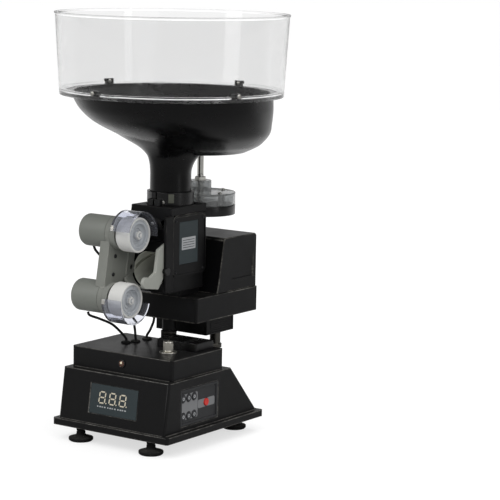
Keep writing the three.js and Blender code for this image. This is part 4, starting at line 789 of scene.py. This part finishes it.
# Keypad: recessed plate, two grey fields with round holes, seven keys, six of them with a ring mark
keypadSizes = {"face": 76.8, "field": (-61.3, -27.9, 38.2, 68.2), "strip": (-27.4, 5.4, 47.3, 57.3),
               "thick": 0.3, "corner": 2.2, "hole": 5.1, "holeEnds": (-6.8, 3.2), "proud": 1.5, "radius": 4.3,
               "dish": 0.5, "edge": 0.3, "plateBack": 1.8, "collar": 0.75, "ringIn": 1.0, "ringOut": 2.1,
               "ringRise": 0.1,
               "screwY": (-57.6, 6.2), "screwZ": (34.6, 71), "screw": 1.5}
keySpots = {f"key_{row}_{i + 1}": (-55.8 + 10.5 * i, z)
            for row, z in (("top", 63.3), ("low", 42.3)) for i in range(3)}
keySpots["stop_key"] = (-11.2, 52.5)


def keyPlace(spot):
    return basePlace @ Matrix.Translation((0, *spot)) @ alongX


def makeKeypad():
    s = keypadSizes
    dressed("keypad_panel", "keypadPlate", s["edge"], "plateDark")
    for name, field in (("keyField", s["field"]), ("stopField", s["strip"])):
        y0, y1, z0, z1 = field
        outline = roundedRect(*field, s["corner"])
        plate = prism(name, outline, s["face"], s["face"] + s["thick"], "zoneGrey", basePlace @ toSide)
        bore = band(0, s["hole"], *(s["face"] + end for end in s["holeEnds"]))
        holes = [lathe("hole." + node, bore, "zoneGrey", keyPlace((y, z)), 40, 0)
                 for node, (y, z) in keySpots.items() if y0 < y < y1 and z0 < z < z1]
        settle(combine(plate, holes), "base", slot="panel_grey")
    back, top, r = s["face"] - s["plateBack"], s["face"] + s["proud"], s["radius"]
    dish = top - s["dish"]
    cap = [(0, back - 2.4), (1.8, back - 2.4), (1.8, back - 1.6), (r + s["collar"], back - 1.6),
           (r + s["collar"], back - 0.3), (r, back - 0.3), (r, top - 0.45), (r - 0.6, top),
           (r - 1.3, top - 0.1), (1.6, dish), (0, dish)]
    ring = band(s["ringIn"], s["ringOut"], dish - s["ringRise"], dish + s["ringRise"])
    for node, spot in keySpots.items():
        finish = "keyRed" if node == "stop_key" else "keyDark"
        standIn(lathe("cap." + node, cap, finish, keyPlace(spot), 48, 0.3), node)
        if node != "stop_key":
            mark = lathe("mark." + node, ring, "markGrey", keyPlace(spot), 32, 0)
            settle(mark, bodyOf[node], slot="panel_grey")
    spots = [basePlace @ Vector((s["face"], y, z)) for y in s["screwY"] for z in s["screwZ"]]
    screws("keypadScrews", "base", [(spot, (1, 0, 0)) for spot in spots], s["screw"], "screwDark", 5)


# Speed knob on its washer
knobSizes = {"x": 41, "y": -38, "foot": 109.8, "radius": 6, "height": 12, "washer": 10.4, "bore": 3.3,
             "thick": 2, "gap": 0.3, "shaft": 3, "shaftLow": -10, "ridges": 40, "ridge": 0.36,
             "ridgeIn": 0.42, "ridgeShort": 4.2, "ridgeDrop": 0.55}


def makeKnob():
    s = knobSizes
    place = basePlace @ Matrix.Translation((s["x"], s["y"], s["foot"]))
    washer = band(s["bore"], s["washer"], 0, s["thick"])
    standIn(lathe("knobWasher", washer, "knobSilver", place, 96, 0.35), "knob_washer")
    r, low = s["radius"], s["thick"] + s["gap"]
    top = low + s["height"]
    profile = [(0, s["shaftLow"]), (s["shaft"], s["shaftLow"]), (s["shaft"], low), (r - 0.1, low),
               (r, low + 1.2), (r - 0.35, low + 1.5), (r - 0.35, top - 2.6), (r, top - 2.3), (r, top - 0.7),
               (r - 0.8, top), (1.4, top - 0.15), (1.2, top - 0.5), (0, top - 0.5)]
    standIn(lathe("speedKnob", profile, "knobSilver", place, 96, 0.25), "speed_knob")
    middle = place @ Vector((0, 0, (low + top) / 2 - s["ridgeDrop"]))
    ridges = grow("knobRidges", ridgeNodes, {
        "Count": s["ridges"], "Ring": (r - s["ridgeIn"]) * mm, "Ridge": s["ridge"] * mm,
        "Height": (s["height"] - s["ridgeShort"]) * mm, "Middle": tuple(middle * mm),
        "Material": finishes["knobSilver"]}, 50)
    settle(ridges, "knob", slot="silver")


# Sensor window, inlet and grommets
fittingSizes = {
    "lens": [(0, -3), (3.2, -3), (3.2, 0), (4.6, 0.3), (4.6, 1.0), (4.3, 1.2), (3.5, 1.2), (3.3, 0.9),
             (3.0, 1.3), (1.8, 1.72), (0, 1.8)],
    "bezel": [(3.6, 0.32), (5.2, 0.32), (5.2, 0.9), (4.8, 1.3), (3.6, 1.3)], "lensPlace": (1, -73.6, 97.6),
    "grommet": [(1.8, 105.3), (4.8, 105.3), (4.8, 106.5), (3.7, 106.5), (3.7, 109.8), (6, 109.8),
                (5.9, 110.9), (4.6, 111.9), (3.2, 112), (1.8, 111.4)],
    "grommetPlaces": ((-34, -22), (-29, -10), (-28, 11)), "inletEdge": 0.3,
}


def makeFittings():
    s = fittingSizes
    place = basePlace @ Matrix.Translation(s["lensPlace"]) @ Matrix.Rotation(math.pi / 2, 4, "X")
    standIn(lathe("sensorWindow", s["lens"], "lensAmber", place, 48, 0.2), "sensor_lens")
    settle(lathe("sensorBezel", s["bezel"], "glossBlack", place, 48, 0.2), "base", slot="black_gloss")
    dressed("dc_inlet", "inletSocket", s["inletEdge"], "columnBlack")
    for i, (x, y) in enumerate(s["grommetPlaces"]):
        place = basePlace @ Matrix.Translation((x, y, 0))
        grommet = lathe(f"grommetRubber.{i + 1}", s["grommet"], "rubberBlack", place, 48, 0.35)
        standIn(grommet, f"grommet_{i + 1}")


makeBase()
makeFeet()
makeDisplay()
makeKeypad()
makeKnob()
makeFittings()
print("base ready")


# Swivel: post, washer and crank
swivelSizes = {"post": 0.3, "crank": 0.5, "bore": 3.8, "washer": 9.5, "low": 119.7, "top": 123.3}


def makeSwivel():
    s = swivelSizes
    dressed("pivot_post", "pivotPost", s["post"], "postSteel")
    washer = band(s["bore"], s["washer"], s["low"], s["top"])
    standIn(lathe("thrustWasher", washer, "washerBlack", segments=72), "thrust_washer")
    dressed("swivel_crank", "crankArm", s["crank"], "crankBlack", 3)


# Turret: tray, gearbox, rear cover, column and its two side covers
turretSizes = {
    "tray": 1.1, "gearbox": 0.5, "cover": 1.1, "column": 0.6, "side": 0.5, "motor": 0.5, "plate": 0.25,
    "collar": 0.5,
    "outlet": (((-38.6, 42, 118), (-36, 62, 138)),),
    "recesses": (((40, 76, 180), (50, 96, 207)), ((-50, 76, 180), (-40, 96, 207))),
    "frames": (((29, -31.6, 170), (31, 29.8, 241.2)), ((-31, -31.6, 170), (-29, 29.8, 241.2))),
    "planes": (((0, 0, 0), (1, 0, 0)), ((0, 0, 0), (0, 1, 0)), ((0, 0, 204), (0, 0, 1))),
    "patch": (-15.6, 11.2, 224.8, 239.2, 0.8), "patchLow": 29.25, "patchTop": 29.42,
    "buckle": (-3.3, 3.3, -5.2, 5.2, 0.6), "buckleLow": -0.6, "buckleTop": 0.9, "buckleEdge": 0.25,
    "buckleSpot": (17.2, -21.4, 285.2), "buckleAim": (0.627, -0.779, 0), "ridgeEdge": 0.15, "ribEdge": 0.2,
}
# Rows of bars: count, first middle, step and size
turretRows = {
    "labelLines": (4, (29.5, -2.2, 227.4), (0, 0, 2.9), (0.2, 22.5, 0.7)),
    "gearboxRidges": (6, (37.35, 54, 121.8), (0, 0, 2.5), (0.7, 41, 1.2)),
    "columnRibs": (5, (17.6, -36.25, 215), (1.75, 0, 0), (0.8, 0.7, 74)),
}
# Screws: spots with their aims, radius, finish and seed
sideCorners = ((-26.5, 259.6), (26, 199.4), (-26.5, 199.4), (26, 259.6))
turretScrews = {
    "collarScrews": ([((8.5, -26.1, 280.2), (0.31, -0.95, 0))], 2.7, "screwSteel", 4),
    "columnScrews": ([((3, -38.3, 256.5), (0, -1, 0))], 2.4, "screwSteel", 2),
    "sideCoverScrews": ([((side * 29.35, y, z), (side, 0, 0)) for side in (1, -1) for y, z in sideCorners],
                        1.5, "screwDark", 7),
    "rearCoverScrews": ([((x, 114.75, z), (0, 1, 0)) for x in (-38, 38) for z in (176, 224)],
                        2.2, "screwDark", 9),
}


def makeTurret():
    s = turretSizes
    frames = inBoxes(*s["frames"])
    dressed("turret_tray", "turretTray", s["tray"], "shellSatin", 3)
    dressed("swivel_gearbox", "swivelGearbox", s["gearbox"], "columnBlack", leave=inBoxes(*s["outlet"]))
    dressed("rear_cover", "rearCover", s["cover"], "shellSatin", 3, leave=inBoxes(*s["recesses"]))
    dressed("feed_motor", "feedMotor", s["motor"], "motorSilver")
    dressed("feed_column", "feedColumn", s["column"], "columnBlack", planes=s["planes"])
    dressed("label_cover", "labelCover", s["side"], "shellSatin", leave=frames)
    dressed("plain_cover", "plainCover", s["side"], "shellSatin", leave=frames)
    dressed("label_plate", "labelPlate", s["plate"], "slatePanel")
    patch = prism("labelPatch", roundedRect(*s["patch"]), s["patchLow"], s["patchTop"], "markGrey", toSide)
    settle(patch, "turret", slot="panel_grey")
    settle(barRow("labelLines", *turretRows["labelLines"], "slatePanel"), "turret", slot="panel_grey")
    dressed("tube_collar", "tubeCollar", s["collar"], "glossBlack", 3)
    screws("collarScrews", "turret", *turretScrews["collarScrews"])
    buckle = prism("collarBuckle", roundedRect(*s["buckle"]), s["buckleLow"], s["buckleTop"], "clampOlive",
                   aimed(s["buckleSpot"], s["buckleAim"]), s["buckleEdge"])
    settle(buckle, "turret", slot="black_gloss")
    for name, edge in (("gearboxRidges", s["ridgeEdge"]), ("columnRibs", s["ribEdge"])):
        row = barRow(name, *turretRows[name], "columnBlack")
        settle(roundEdges(row, edge, 1), "turret", slot="black_matt")
    for name in ("columnScrews", "sideCoverScrews", "rearCoverScrews"):
        screws(name, "turret", *turretScrews[name])


# Hopper: circles (x, y, radius, height) of the outer skin, from the rim to the floor and down the throat
bowlSizes = {
    "wall": 3, "flange": 128.4, "flangeLow": 405.8, "top": 408.8, "tube": 24.5, "bore": 22.3,
    "tubeLow": 276.7,
    "dish": ((0, 1, 118.5, 406), (1, 4, 116.5, 396), (3, 7, 113.2, 386), (6, 14, 105.6, 373),
             (10, 27, 92.6, 359.4), (8, 43, 75.5, 346), (5, 50, 65, 339.8), (2, 51, 57, 335)),
    "throat": ((0, 12, 84, 365), (0, 10, 62, 353), (0, 6, 42, 343), (0, 5, 32, 334), (0, 2, 27, 326),
               (0, 0, 24.5, 315), (0, 0, 24.5, 300)),
    "tabWidth": 12, "tabHeight": 6, "tabThick": 3, "angles": (-18.5, 86.5, 164.5, 265),
    "segments": 144, "steps": 4, "hole": (4.4, 330, 345), "screwRing": 133.9, "screwUp": 3.2, "screw": 2.6,
    "nutIn": 9.2, "nut": 2.2,
}


def loftRows(name, rows):
    turns = [2 * math.pi * i / bowlSizes["segments"] for i in range(bowlSizes["segments"])]
    circles = [[(x + r * math.cos(turn), y + r * math.sin(turn), z) for turn in turns] for x, y, r, z in rows]
    return solidsFrom(name, [circles], "bowlBlack")


def smoothRows(rows, inset=0.0, lift=0.0):
    skins = curvePoints([row[1:] for row in rows], bowlSizes["steps"])
    sides = curvePoints([(row[0], 0, row[3]) for row in rows], bowlSizes["steps"])
    out = [(side.x, skin.x, skin.y - inset, skin.z) for side, skin in zip(sides, skins)]
    x, y, radius, height = out[-1]
    return out[:-1] + [(x, y, radius, height + lift)]


def tubeRows(radius, low):
    return [(0, 0, radius, bowlSizes["tubeLow"] + 8), (0, 0, radius, low)]


def makeBowl():
    s = bowlSizes
    r, w, wall, low = s["flange"], s["tabWidth"] / 2, s["wall"], s["tubeLow"]
    bowl = loftRows("hopperBowl", smoothRows(s["dish"]))
    flange = band(0, r, s["flangeLow"], s["top"])
    skins = [loftRows("throatSkin", smoothRows(s["throat"]) + tubeRows(s["tube"], low)),
             lathe("flangeSkin", flange, "bowlBlack", segments=s["segments"], ease=0.8)]
    arc = [(r * math.cos(a), r * math.sin(a)) for a in (math.asin(w / r) * (k / 4 - 1) for k in range(9))]
    outline = arc + [(x - s["tabThick"], y) for x, y in arc[::-1]]
    for i, angle in enumerate(s["angles"]):
        turn = Matrix.Rotation(math.radians(angle), 4, "Z")
        top = s["top"] + s["tabHeight"]
        skins.append(prism(f"tabSkin{i}", outline, s["flangeLow"] + 1, top, "bowlBlack", turn))
    combine(bowl, skins, "UNION")
    x, y, mouth, z = s["dish"][0]
    radius, bottom, top = s["hole"]
    combine(bowl, [
        loftRows("dishHollow", smoothRows(s["dish"], wall, wall)),
        loftRows("mouthHollow", [(x, y, mouth - wall, z - 1), (x, y, mouth - wall, z + 6)]),
        loftRows("pipeHollow", smoothRows(s["throat"], s["tube"] - s["bore"]) + tubeRows(s["bore"], low - 5)),
        lathe("shaftHollow", band(0, radius, bottom, top), "bowlBlack", shaftPlace, 32, 0)])
    standIn(bowl, "hopper_bowl")
    spots = []
    for angle in s["angles"]:
        aim = Vector((math.cos(math.radians(angle)), math.sin(math.radians(angle)), 0))
        spots.append((aim * s["screwRing"] + Vector((0, 0, s["top"] + s["screwUp"])), aim))
    screws("ringScrews", "turret", spots, s["screw"], "screwSteel", 4)
    nuts = [(spot - aim * s["nutIn"], -aim) for spot, aim in spots]
    screws("ringNuts", "turret", nuts, s["nut"], "screwSteel", 6)


ringSizes = {"low": 404.6, "top": 500.2, "lowRadius": 131.4, "topRadius": 137, "wall": 1.6, "ledgeLow": 409.1,
             "ledgeTop": 411.5, "ledgeIn": 124.4, "fit": 128.7, "lip": 1, "lipHeight": 3}


def makeRing():
    s = ringSizes
    low, top, lipLow = s["low"], s["top"], s["top"] - s["lipHeight"]

    def slope(z):
        return s["lowRadius"] + (s["topRadius"] - s["lowRadius"]) * (z - low) / (top - low)

    profile = [(slope(low), low), (slope(top), lipLow), (slope(top) + s["lip"], lipLow + s["lip"]),
               (slope(top) + s["lip"], top), (slope(top) - s["wall"], top),
               (slope(s["ledgeTop"]) - s["wall"], s["ledgeTop"]), (s["ledgeIn"], s["ledgeTop"]),
               (s["ledgeIn"], s["ledgeLow"]), (s["fit"], s["ledgeLow"]), (s["fit"], low)]
    standIn(lathe("clearRing", profile, "ringClear", segments=180, ease=0.5), "hopper_ring")


# Stirrer drive: case, lid, shaft, wheel and gears
caseSizes = {
    "y": 67, "radius": 38, "flat": 31.5, "bottom": 258, "split": 270, "top": 284.5, "wall": 2.5,
    "lidWall": 2, "floor": 3, "boss": 7, "hole": 4.4, "tower": 13.5, "towerTop": 299,
    "pinion": (-18, 81.74), "pinionHole": 4.5,
    "rod": [(0, 259.4), (3.4, 259.4), (4, 260), (4, 305.4), (3.7, 305.7), (3.7, 306.6), (4, 306.9), (4, 352),
            (3.2, 353), (0, 353)],
    "nut": [(4.1, 299.1), (7.2, 299.1), (7.2, 302.6), (6.4, 303.4), (4.1, 303.4)],
    "screwTurns": (-13.75, 206.1, 74), "screwRing": 29.44, "screw": 2.6, "post": 2.1, "wheelEdge": 0.4,
    "gearEdge": 0.12, "lidGap": 0.3, "screwUp": 0.5, "postGaps": (0.6, 0.2),
}


def disc(name, radius, low, high, finish, x, y, ease=0.0, segments=96):
    return lathe(name, band(0, radius, low, high), finish, Matrix.Translation((x, y, 0)), segments, ease)


# A block in front of the case's flat side
def frontBlock(name, edge, low, high, finish):
    away = caseSizes["radius"] * 2
    start = caseSizes["flat"] - away
    return prism(name, [(-away, start), (away, start), (away, edge), (-away, edge)], low, high, finish)


def makeDrive():
    s = caseSizes
    y, r, flat, wall, lidWall = s["y"], s["radius"], s["flat"], s["wall"], s["lidWall"]
    bottom, split, top, towerTop, hole = s["bottom"], s["split"], s["top"], s["towerTop"], s["hole"]
    finish = "glossBlack"
    tray = disc("gearTray", r, bottom, split, finish, 0, y, 0.8)
    boss = disc("bossSkin", s["boss"], bottom - s["floor"], bottom + 1, finish, 0, shaftY, 0.5, 48)
    combine(tray, [boss], "UNION")
    hollow = disc("trayHollow", r - wall, bottom + s["floor"], split + 1, finish, 0, y)
    below, above, pinionHole = bottom - 8, split + 10, s["pinionHole"]
    combine(hollow, [frontBlock("trayFlat", flat + wall, below, above, finish)])
    combine(tray, [frontBlock("flatCut", flat, below, above, finish), hollow,
                   disc("shaftCut", hole, bottom + 1, above, finish, 0, shaftY, segments=32),
                   disc("pinionCut", pinionHole, below, above, finish, *s["pinion"], segments=32)])
    standIn(tray, "gear_tray")
    finish = "lidClear"
    lid = disc("gearLid", r, split + s["lidGap"], top, finish, 0, y, 0.8)
    combine(lid, [disc("towerSkin", s["tower"], top - 1, towerTop, finish, 0, shaftY, 0.8, 72)], "UNION")
    inner = disc("lidHollow", r - lidWall, split, top - lidWall, finish, 0, y, 0.5)
    combine(inner, [frontBlock("lidFlat", flat + lidWall, split - 10, towerTop + 1, finish)])
    bore = s["tower"] - lidWall
    combine(lid, [frontBlock("lidFlatCut", flat, split - 10, towerTop + 6, finish), inner,
                  disc("towerHollow", bore, top - 3, towerTop - lidWall, finish, 0, shaftY, segments=72),
                  disc("lidShaftCut", hole, top, towerTop + 1, finish, 0, shaftY, segments=32)])
    standIn(lid, "gear_lid")
    standIn(lathe("stirrerRod", s["rod"], "shaftChrome", shaftPlace, 48, 0.2), "stirrer_shaft")
    dressed("stirrer_wheel", "stirrerWheel", s["wheelEdge"], "columnBlack")
    dressed("drive_gear", "driveGear", s["gearEdge"], "glossBlack", 1)
    dressed("motor_pinion", "motorPinion", s["gearEdge"], "brassTurned", 1)
    nut = lathe("towerNut", s["nut"], "screwSteel", shaftPlace, 6, 0.3, angle=20)
    settle(nut, "stirrer", slot="chrome")
    spots = []
    for turn in map(math.radians, s["screwTurns"]):
        spots.append((s["screwRing"] * math.cos(turn), y + s["screwRing"] * math.sin(turn),
                      top + s["screwUp"]))
    screws("lidScrews", "turret", [(spot, (0, 0, 1)) for spot in spots], s["screw"], "screwSteel", 8)
    low, high = split + s["postGaps"][0], top - lidWall - s["postGaps"][1]
    for i, (x, y, z) in enumerate(spots):
        post = disc(f"lidPost.{i + 1}", s["post"], low, high, "nutPale", x, y, 0.2, 32)
        settle(post, "turret", slot="chrome")


makeSwivel()
makeTurret()
makeBowl()
makeRing()
makeDrive()
print("turret ready")


# Shooting head: bracket, two motors with rollers and guards
headSizes = {
    "nipY": -32.2, "half": 38.16, "wallLeft": 20.6, "wallOut": 27.1, "bracketEdge": 0.6, "pinEdge": 0.3,
    "screwY": -34, "screwUp": 10.7, "screw": 2.4, "motorRadius": 19, "motorLeft": -67.5, "tyreRadius": 20.5,
    "tyreBore": 18, "tyreHalf": 10, "hubGap": 0.3, "guardRadius": 27.7, "guardWall": 2, "guardLeft": -12.8,
    "guardRight": 15.3, "guardInner": 13, "guardGap": 1.2 / 26, "clip": (-2.3, 2.3, -0.85, 0.85, 0.5),
    "clipHalf": 3, "clipEdge": 0.3, "clipX": 2.4, "clipY": 0.9, "clipUp": 4.4, "litCheekLeft": 12,
    "nut": [(0, 7.3), (5.2, 7.3), (5.2, 9.6), (4.6, 10.2), (3.1, 10.2), (2.8, 9.7), (2.4, 9.7),
            (2.4, 11.5), (1.9, 11.9), (0, 11.9)],
}


def makeBracket():
    s = headSizes
    back = headPlace.inverted()

    # The thin step between collar and wall stays sharp
    def onStep(spot):
        x, y, z = back @ (spot / mm)
        away = math.hypot(y - s["nipY"], abs(z) - s["half"])
        return abs(x + s["wallLeft"]) < 0.05 and s["motorRadius"] - 0.2 < away < s["motorRadius"] + 0.5

    up, left = (headPlace.to_3x3() @ Vector(way) for way in ((0, 0, 1), (-1, 0, 0)))
    heights = (0, s["screwUp"], -s["screwUp"], s["half"], -s["half"])
    planes = [(headPlace @ Vector((0, 0, z)), up) for z in heights]
    bracket = softened("head_bracket", "headBracket", s["bracketEdge"], "castGrey", 3, planes, onStep)
    # Painted light: faces right of litCheekLeft take the lighter cheek grey, the same cast painted as lit
    bracket.data.materials.append(finishes["cheekGrey"])
    for face in bracket.data.polygons:
        face.material_index = int(face.center.x > s["litCheekLeft"] * mm)
    standIn(bracket, "head_bracket")
    for node in ("tilt_pin_left", "tilt_pin_right"):
        dressed(node, "pin." + node, s["pinEdge"], "pinSteel")
    spots = [(headPlace @ Vector((x, s["screwY"], side * s["screwUp"])), aim)
             for x, aim in ((-s["wallOut"], left), (0.1 - s["wallLeft"], -left)) for side in (-1, 1)]
    screws("wallScrews", "head", spots, s["screw"], "screwDark", 11)


def makeDriveUnit(name, side):
    s = headSizes
    place = headPlace @ Matrix.Translation((0, s["nipY"], side * s["half"])) @ alongX
    r, left = s["motorRadius"], s["motorLeft"]
    can = [(0, left + 1.2), (4.2, left + 1.2), (4.6, left), (7.2, left), (7.6, left + 1.2),
           (r - 5, left + 1.2), (r - 3, left + 0.2), (r - 1, left + 1), (r, left + 3.2), (r, -27.3),
           (8, -27.3), (8, -20.7), (2.9, -20.7), (2.9, -39), (0, -39)]
    standIn(lathe(name + "MotorCan", can, "motorGrey", place, 96, 0.5), name + "_motor")
    b, h, t, c = s["tyreBore"], s["tyreHalf"], s["tyreRadius"], s["tyreBore"] - s["hubGap"]
    tyre = [(b, -h), (t - 1.2, -h), (t - 0.3, -h + 0.4), (t, -h + 1.2), (t, h - 1.2), (t - 0.3, h - 0.4),
            (t - 1.2, h), (b + 0.6, h), (b, h - 0.4)]
    standIn(lathe(name + "Tyre", tyre, "tyreWhite", place, 96, 0.3), name + "_tyre")
    hub = [(0, -37), (2.5, -37), (2.5, -9), (c, -9), (c, 9), (c - 1, 9), (c - 1.3, 8.3), (c - 2.3, 8.3),
           (c - 2.6, 9), (13.2, 9), (12.8, 6.2), (11.4, 4.8), (9.6, 4.8), (9.4, 5.8), (8, 5.8), (7.8, 4.8),
           (6, 4.8), (5.6, 7.2), (3.8, 7.6), (3.8, 9.4), (2.5, 9.4), (2.5, 11.4), (0, 11.4)]
    standIn(lathe(name + "Hub", hub, "hubClear", place, 96, 0.3), name + "_hub")
    nut = lathe(name + "ShaftNut", s["nut"], "nutPale", place, 6, 0.2, angle=20)
    settle(nut, name + "_roller", slot="chrome")
    g, w, left, right = s["guardRadius"], s["guardWall"], s["guardLeft"], s["guardRight"]
    sheet = [(g - w, left + w), (g - w, right - 0.6), (g - 0.6, right), (g, right - 0.6), (g, left),
             (s["guardInner"], left), (s["guardInner"], left + w)]
    # Local -X is up here; the upper guard covers the upper half and the lower one the lower half
    edge = math.degrees(math.asin(s["guardGap"]))
    start = 90 + edge if side > 0 else -90 + edge
    guard = lathe(name + "Guard", sheet, "guardClear", place, 72, 0.4, start, 180 - 2 * edge)
    standIn(guard, name + "_guard")
    clips, half = [], s["clipHalf"]
    for turn in (-1, 1):
        spot = (left + s["clipX"], s["nipY"] + turn * (g - s["clipY"]), side * (s["half"] + s["clipUp"]))
        clips.append(prism(f"{name}Clip{turn}", roundedRect(*s["clip"]), -half, half, "clipSteel",
                           headPlace @ Matrix.Translation(spot)))
    joined = combine(clips[0], clips[1:], "UNION")
    settle(roundEdges(joined, s["clipEdge"]), "head", slot="chrome")


# Grey chute that lines the ball's way out of the column, with a raised strip up its left side. The chute is
# the bracket's cast grey painted far paler, painted light inside the shaded bore; the strip is painted
# darker, a painted shade band along the chute's left side
chuteSizes = {"radius": 21.4, "skin": 0.8, "front": 5.0, "lean": 0.08, "rear": 58, "from": 75, "to": 255,
              "steps": 60, "strip": 0.8, "sunk": 0.2, "stripLow": (6.0, 0.0), "stripHigh": (23, 17.8),
              "stripWide": 5.4, "stripSteps": 16}


def makeChute():
    s = chuteSizes
    r, t = s["radius"], s["skin"]
    shell, strip = [], []
    for i in range(s["steps"] + 1):
        turn = math.radians(s["from"] + (s["to"] - s["from"]) * i / s["steps"])
        row = []
        for away, order in ((r - t, 1), (r, -1)):
            x, z = away * math.cos(turn), -away * math.sin(turn)
            row += [headPlace @ Vector((x, y, z)) for y in (s["front"] - s["lean"] * z, s["rear"])][::order]
        shell.append(row)
    settle(solidsFrom("chuteShell", [shell], "chuteGrey"), "turret", slot="grey_cast")
    for i in range(s["stripSteps"] + 1):
        y, z = (a + (b - a) * i / s["stripSteps"] for a, b in zip(s["stripLow"], s["stripHigh"]))
        row = []
        for rise, order in ((-s["stripWide"] / 2, 1), (s["stripWide"] / 2, -1)):
            turn = math.asin((z + rise) / r)
            row += [headPlace @ Vector((-away * math.cos(turn), y, away * math.sin(turn)))
                    for away in (r - t + s["sunk"], r - t - s["strip"])][::order]
        strip.append(row)
    settle(solidsFrom("chuteStrip", [strip], "stripGrey"), "turret", slot="grey_cast")


makeChute()
makeBracket()
makeDriveUnit("upper", 1)
makeDriveUnit("lower", -1)
print("head ready")


# Leads: each motor lead is two curved tubes along one path, one from the head to the turret and one from
# there to the base
leadSizes = {"radius": 1.5, "steps": 8, "cuts": (("upper", 4), ("lower", 3))}
leadRoutes = {
    "lower": ((-54, -68.9, 151.6), (-52, -68, 147.5), (-44.7, -58, 142.5), (-39.4, -42, 134.5),
              (-36.6, -29, 123.6), (-34, -22, 115), (-34, -22, 109.8), (-34, -22, 104)),
    "upper": ((-61, -50.4, 227.2), (-59.4, -48.4, 221), (-53, -40, 209), (-44, -33, 190), (-37, -27, 165),
              (-30, -14, 136), (-29, -10, 115), (-29, -10, 109.8), (-29, -10, 104)),
    "turret": ((-20, 14, 137.7), (-20.5, 13.6, 132), (-24, 12, 122), (-28, 11, 115), (-28, 11, 109.8),
               (-28, 11, 104)),
}


def makeLeads():
    radius, steps = leadSizes["radius"], leadSizes["steps"]
    routes = {name: [basePlace @ Vector(p) for p in route] for name, route in leadRoutes.items()}
    for name, cut in leadSizes["cuts"]:
        path = curvePoints(routes[name], steps)
        meet = cut * steps
        top = tubeAlong(name + "LeadTop", path[:meet + 1], radius, "leadBlack")
        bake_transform(top)
        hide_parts(name + "_motor_lead")
        foot = tubeAlong(name + "LeadFoot", path[meet:], radius, "leadBlack")
        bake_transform(foot)
    path = curvePoints(routes["turret"], steps)
    short = tubeAlong("turretLead", path, radius, "leadBlack")
    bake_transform(short)
    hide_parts("turret_lead")


makeLeads()
bpy.data.objects.remove(screwMaster)
print("leads ready")


# The paths of light that floor and world tell apart
def lightPaths(tree):
    path = addNode(tree, "ShaderNodeLightPath").outputs
    straight = mathNode(tree, "LESS_THAN", path["Diffuse Depth"], 0.5)
    return path, mathNode(tree, "MULTIPLY", path["Is Transmission Ray"], straight)


# Floor, light and background
floorSizes = {"half": 40, "cloudScale": 3, "low": 0.86, "high": 0.88, "rough": 0.9, "specular": 0.1,
              "glow": 1.2, "slopeX": 0.57, "slopeY": 0.82, "near": (0.2, 1.0),
              "shares": (0.55, 0.4, 0.8, 0.55)}


def makeFloor():
    s = floorSizes
    tree, shader = newMaterial("paleFloor")
    spot = objectSpot(tree)
    low, high = ((s[key], s[key], s[key], 1) for key in ("low", "high"))
    shade = mixColours(tree, noiseNode(tree, spot, s["cloudScale"], 2.0, 0.5), low, high)
    fill(tree, shader, {"Base Color": shade, "Roughness": s["rough"], "Specular IOR Level": s["specular"]})
    glow, dim = (addNode(tree, "ShaderNodeEmission", {"Strength": level}) for level in (s["glow"], 0.0))
    path, through = lightPaths(tree)
    axes = axesOf(tree, spot)
    behind = mathNode(tree, "SUBTRACT", mathNode(tree, "MULTIPLY", axes["Y"], s["slopeY"]),
                      mathNode(tree, "MULTIPLY", axes["X"], s["slopeX"]))
    near = mathNode(tree, "SUBTRACT", 1.0, spreadNode(tree, behind, *s["near"]))
    glossy = mathNode(tree, "MULTIPLY", path["Is Glossy Ray"], near)
    rays = (glossy, path["Is Diffuse Ray"], through, path["Is Camera Ray"])
    total = shader.outputs[0]
    for ray, share, other in zip(rays, s["shares"], (dim, dim, glow, glow)):
        values = {0: mathNode(tree, "MULTIPLY", ray, share), 1: total, 2: other.outputs[0]}
        total = addNode(tree, "ShaderNodeMixShader", values).outputs[0]
    fill(tree, tree.nodes["Material Output"], {"Surface": total})
    mesh = bpy.data.meshes.new("floor")
    corners = [(x * s["half"], y * s["half"], 0) for x, y in ((-1, -1), (1, -1), (1, 1), (-1, 1))]
    mesh.from_pydata(corners, [], [(0, 1, 2, 3)])
    mesh.materials.append(finishes["paleFloor"])
    floor = bpy.data.objects.new("floor", mesh)
    scene.collection.objects.link(floor)


# Suns light everything evenly; the boxes, in metres, give the long highlights
lightSizes = {
    "ambient": 0.5, "mirrored": 0.16,
    "suns": {"key": ((38, 12, -25), 0.85, 30), "fill": ((48, -8, 75), 0.95, 60)},
    "boxes": {"front": ((-1.4, -2.4, 1.5), (0, 0, 0.3), 1.0, 1.6, 14),
              "side": ((2.6, -0.2, 0.9), (0, 0, 0.35), 0.4, 1.8, 5),
              "top": ((0.2, 0.9, 2.4), (0, 0, 0.3), 1.8, 1.2, 20),
              "back": ((-2.6, 3.7, 1.15), (0, 0, 0.25), 3.2, 1.0, 6)},
}


def addLamp(name, kind, **settings):
    data = bpy.data.lights.new(name, kind)
    for label, value in settings.items():
        setattr(data, label, value)
    lamp = bpy.data.objects.new(name, data)
    scene.collection.objects.link(lamp)
    return lamp


def makeLights():
    s = lightSizes
    scene.world = bpy.data.worlds.new("studio")
    scene.world.use_nodes = True
    tree = scene.world.node_tree
    path, through = lightPaths(tree)
    seen = mathNode(tree, "MAXIMUM", path["Is Camera Ray"], through)
    mirrored = mathNode(tree, "MULTIPLY", path["Is Glossy Ray"], s["ambient"] - s["mirrored"])
    level = mathNode(tree, "MAXIMUM", seen, mathNode(tree, "SUBTRACT", s["ambient"], mirrored))
    fill(tree, tree.nodes["Background"], {"Color": (1, 1, 1, 1), "Strength": level})
    for name, (turn, strength, spread) in s["suns"].items():
        sun = addLamp(name, "SUN", energy=strength, angle=math.radians(spread))
        sun.rotation_euler = [math.radians(v) for v in turn]
    for name, (place, aim, width, height, energy) in s["boxes"].items():
        box = addLamp(name, "AREA", shape="RECTANGLE", size=width, size_y=height, energy=energy)
        box.matrix_world = aimed(place, Vector(aim) - Vector(place), "-Z")


makeFloor()
makeLights()
scene.view_settings.view_transform = "Standard"
print("light ready")
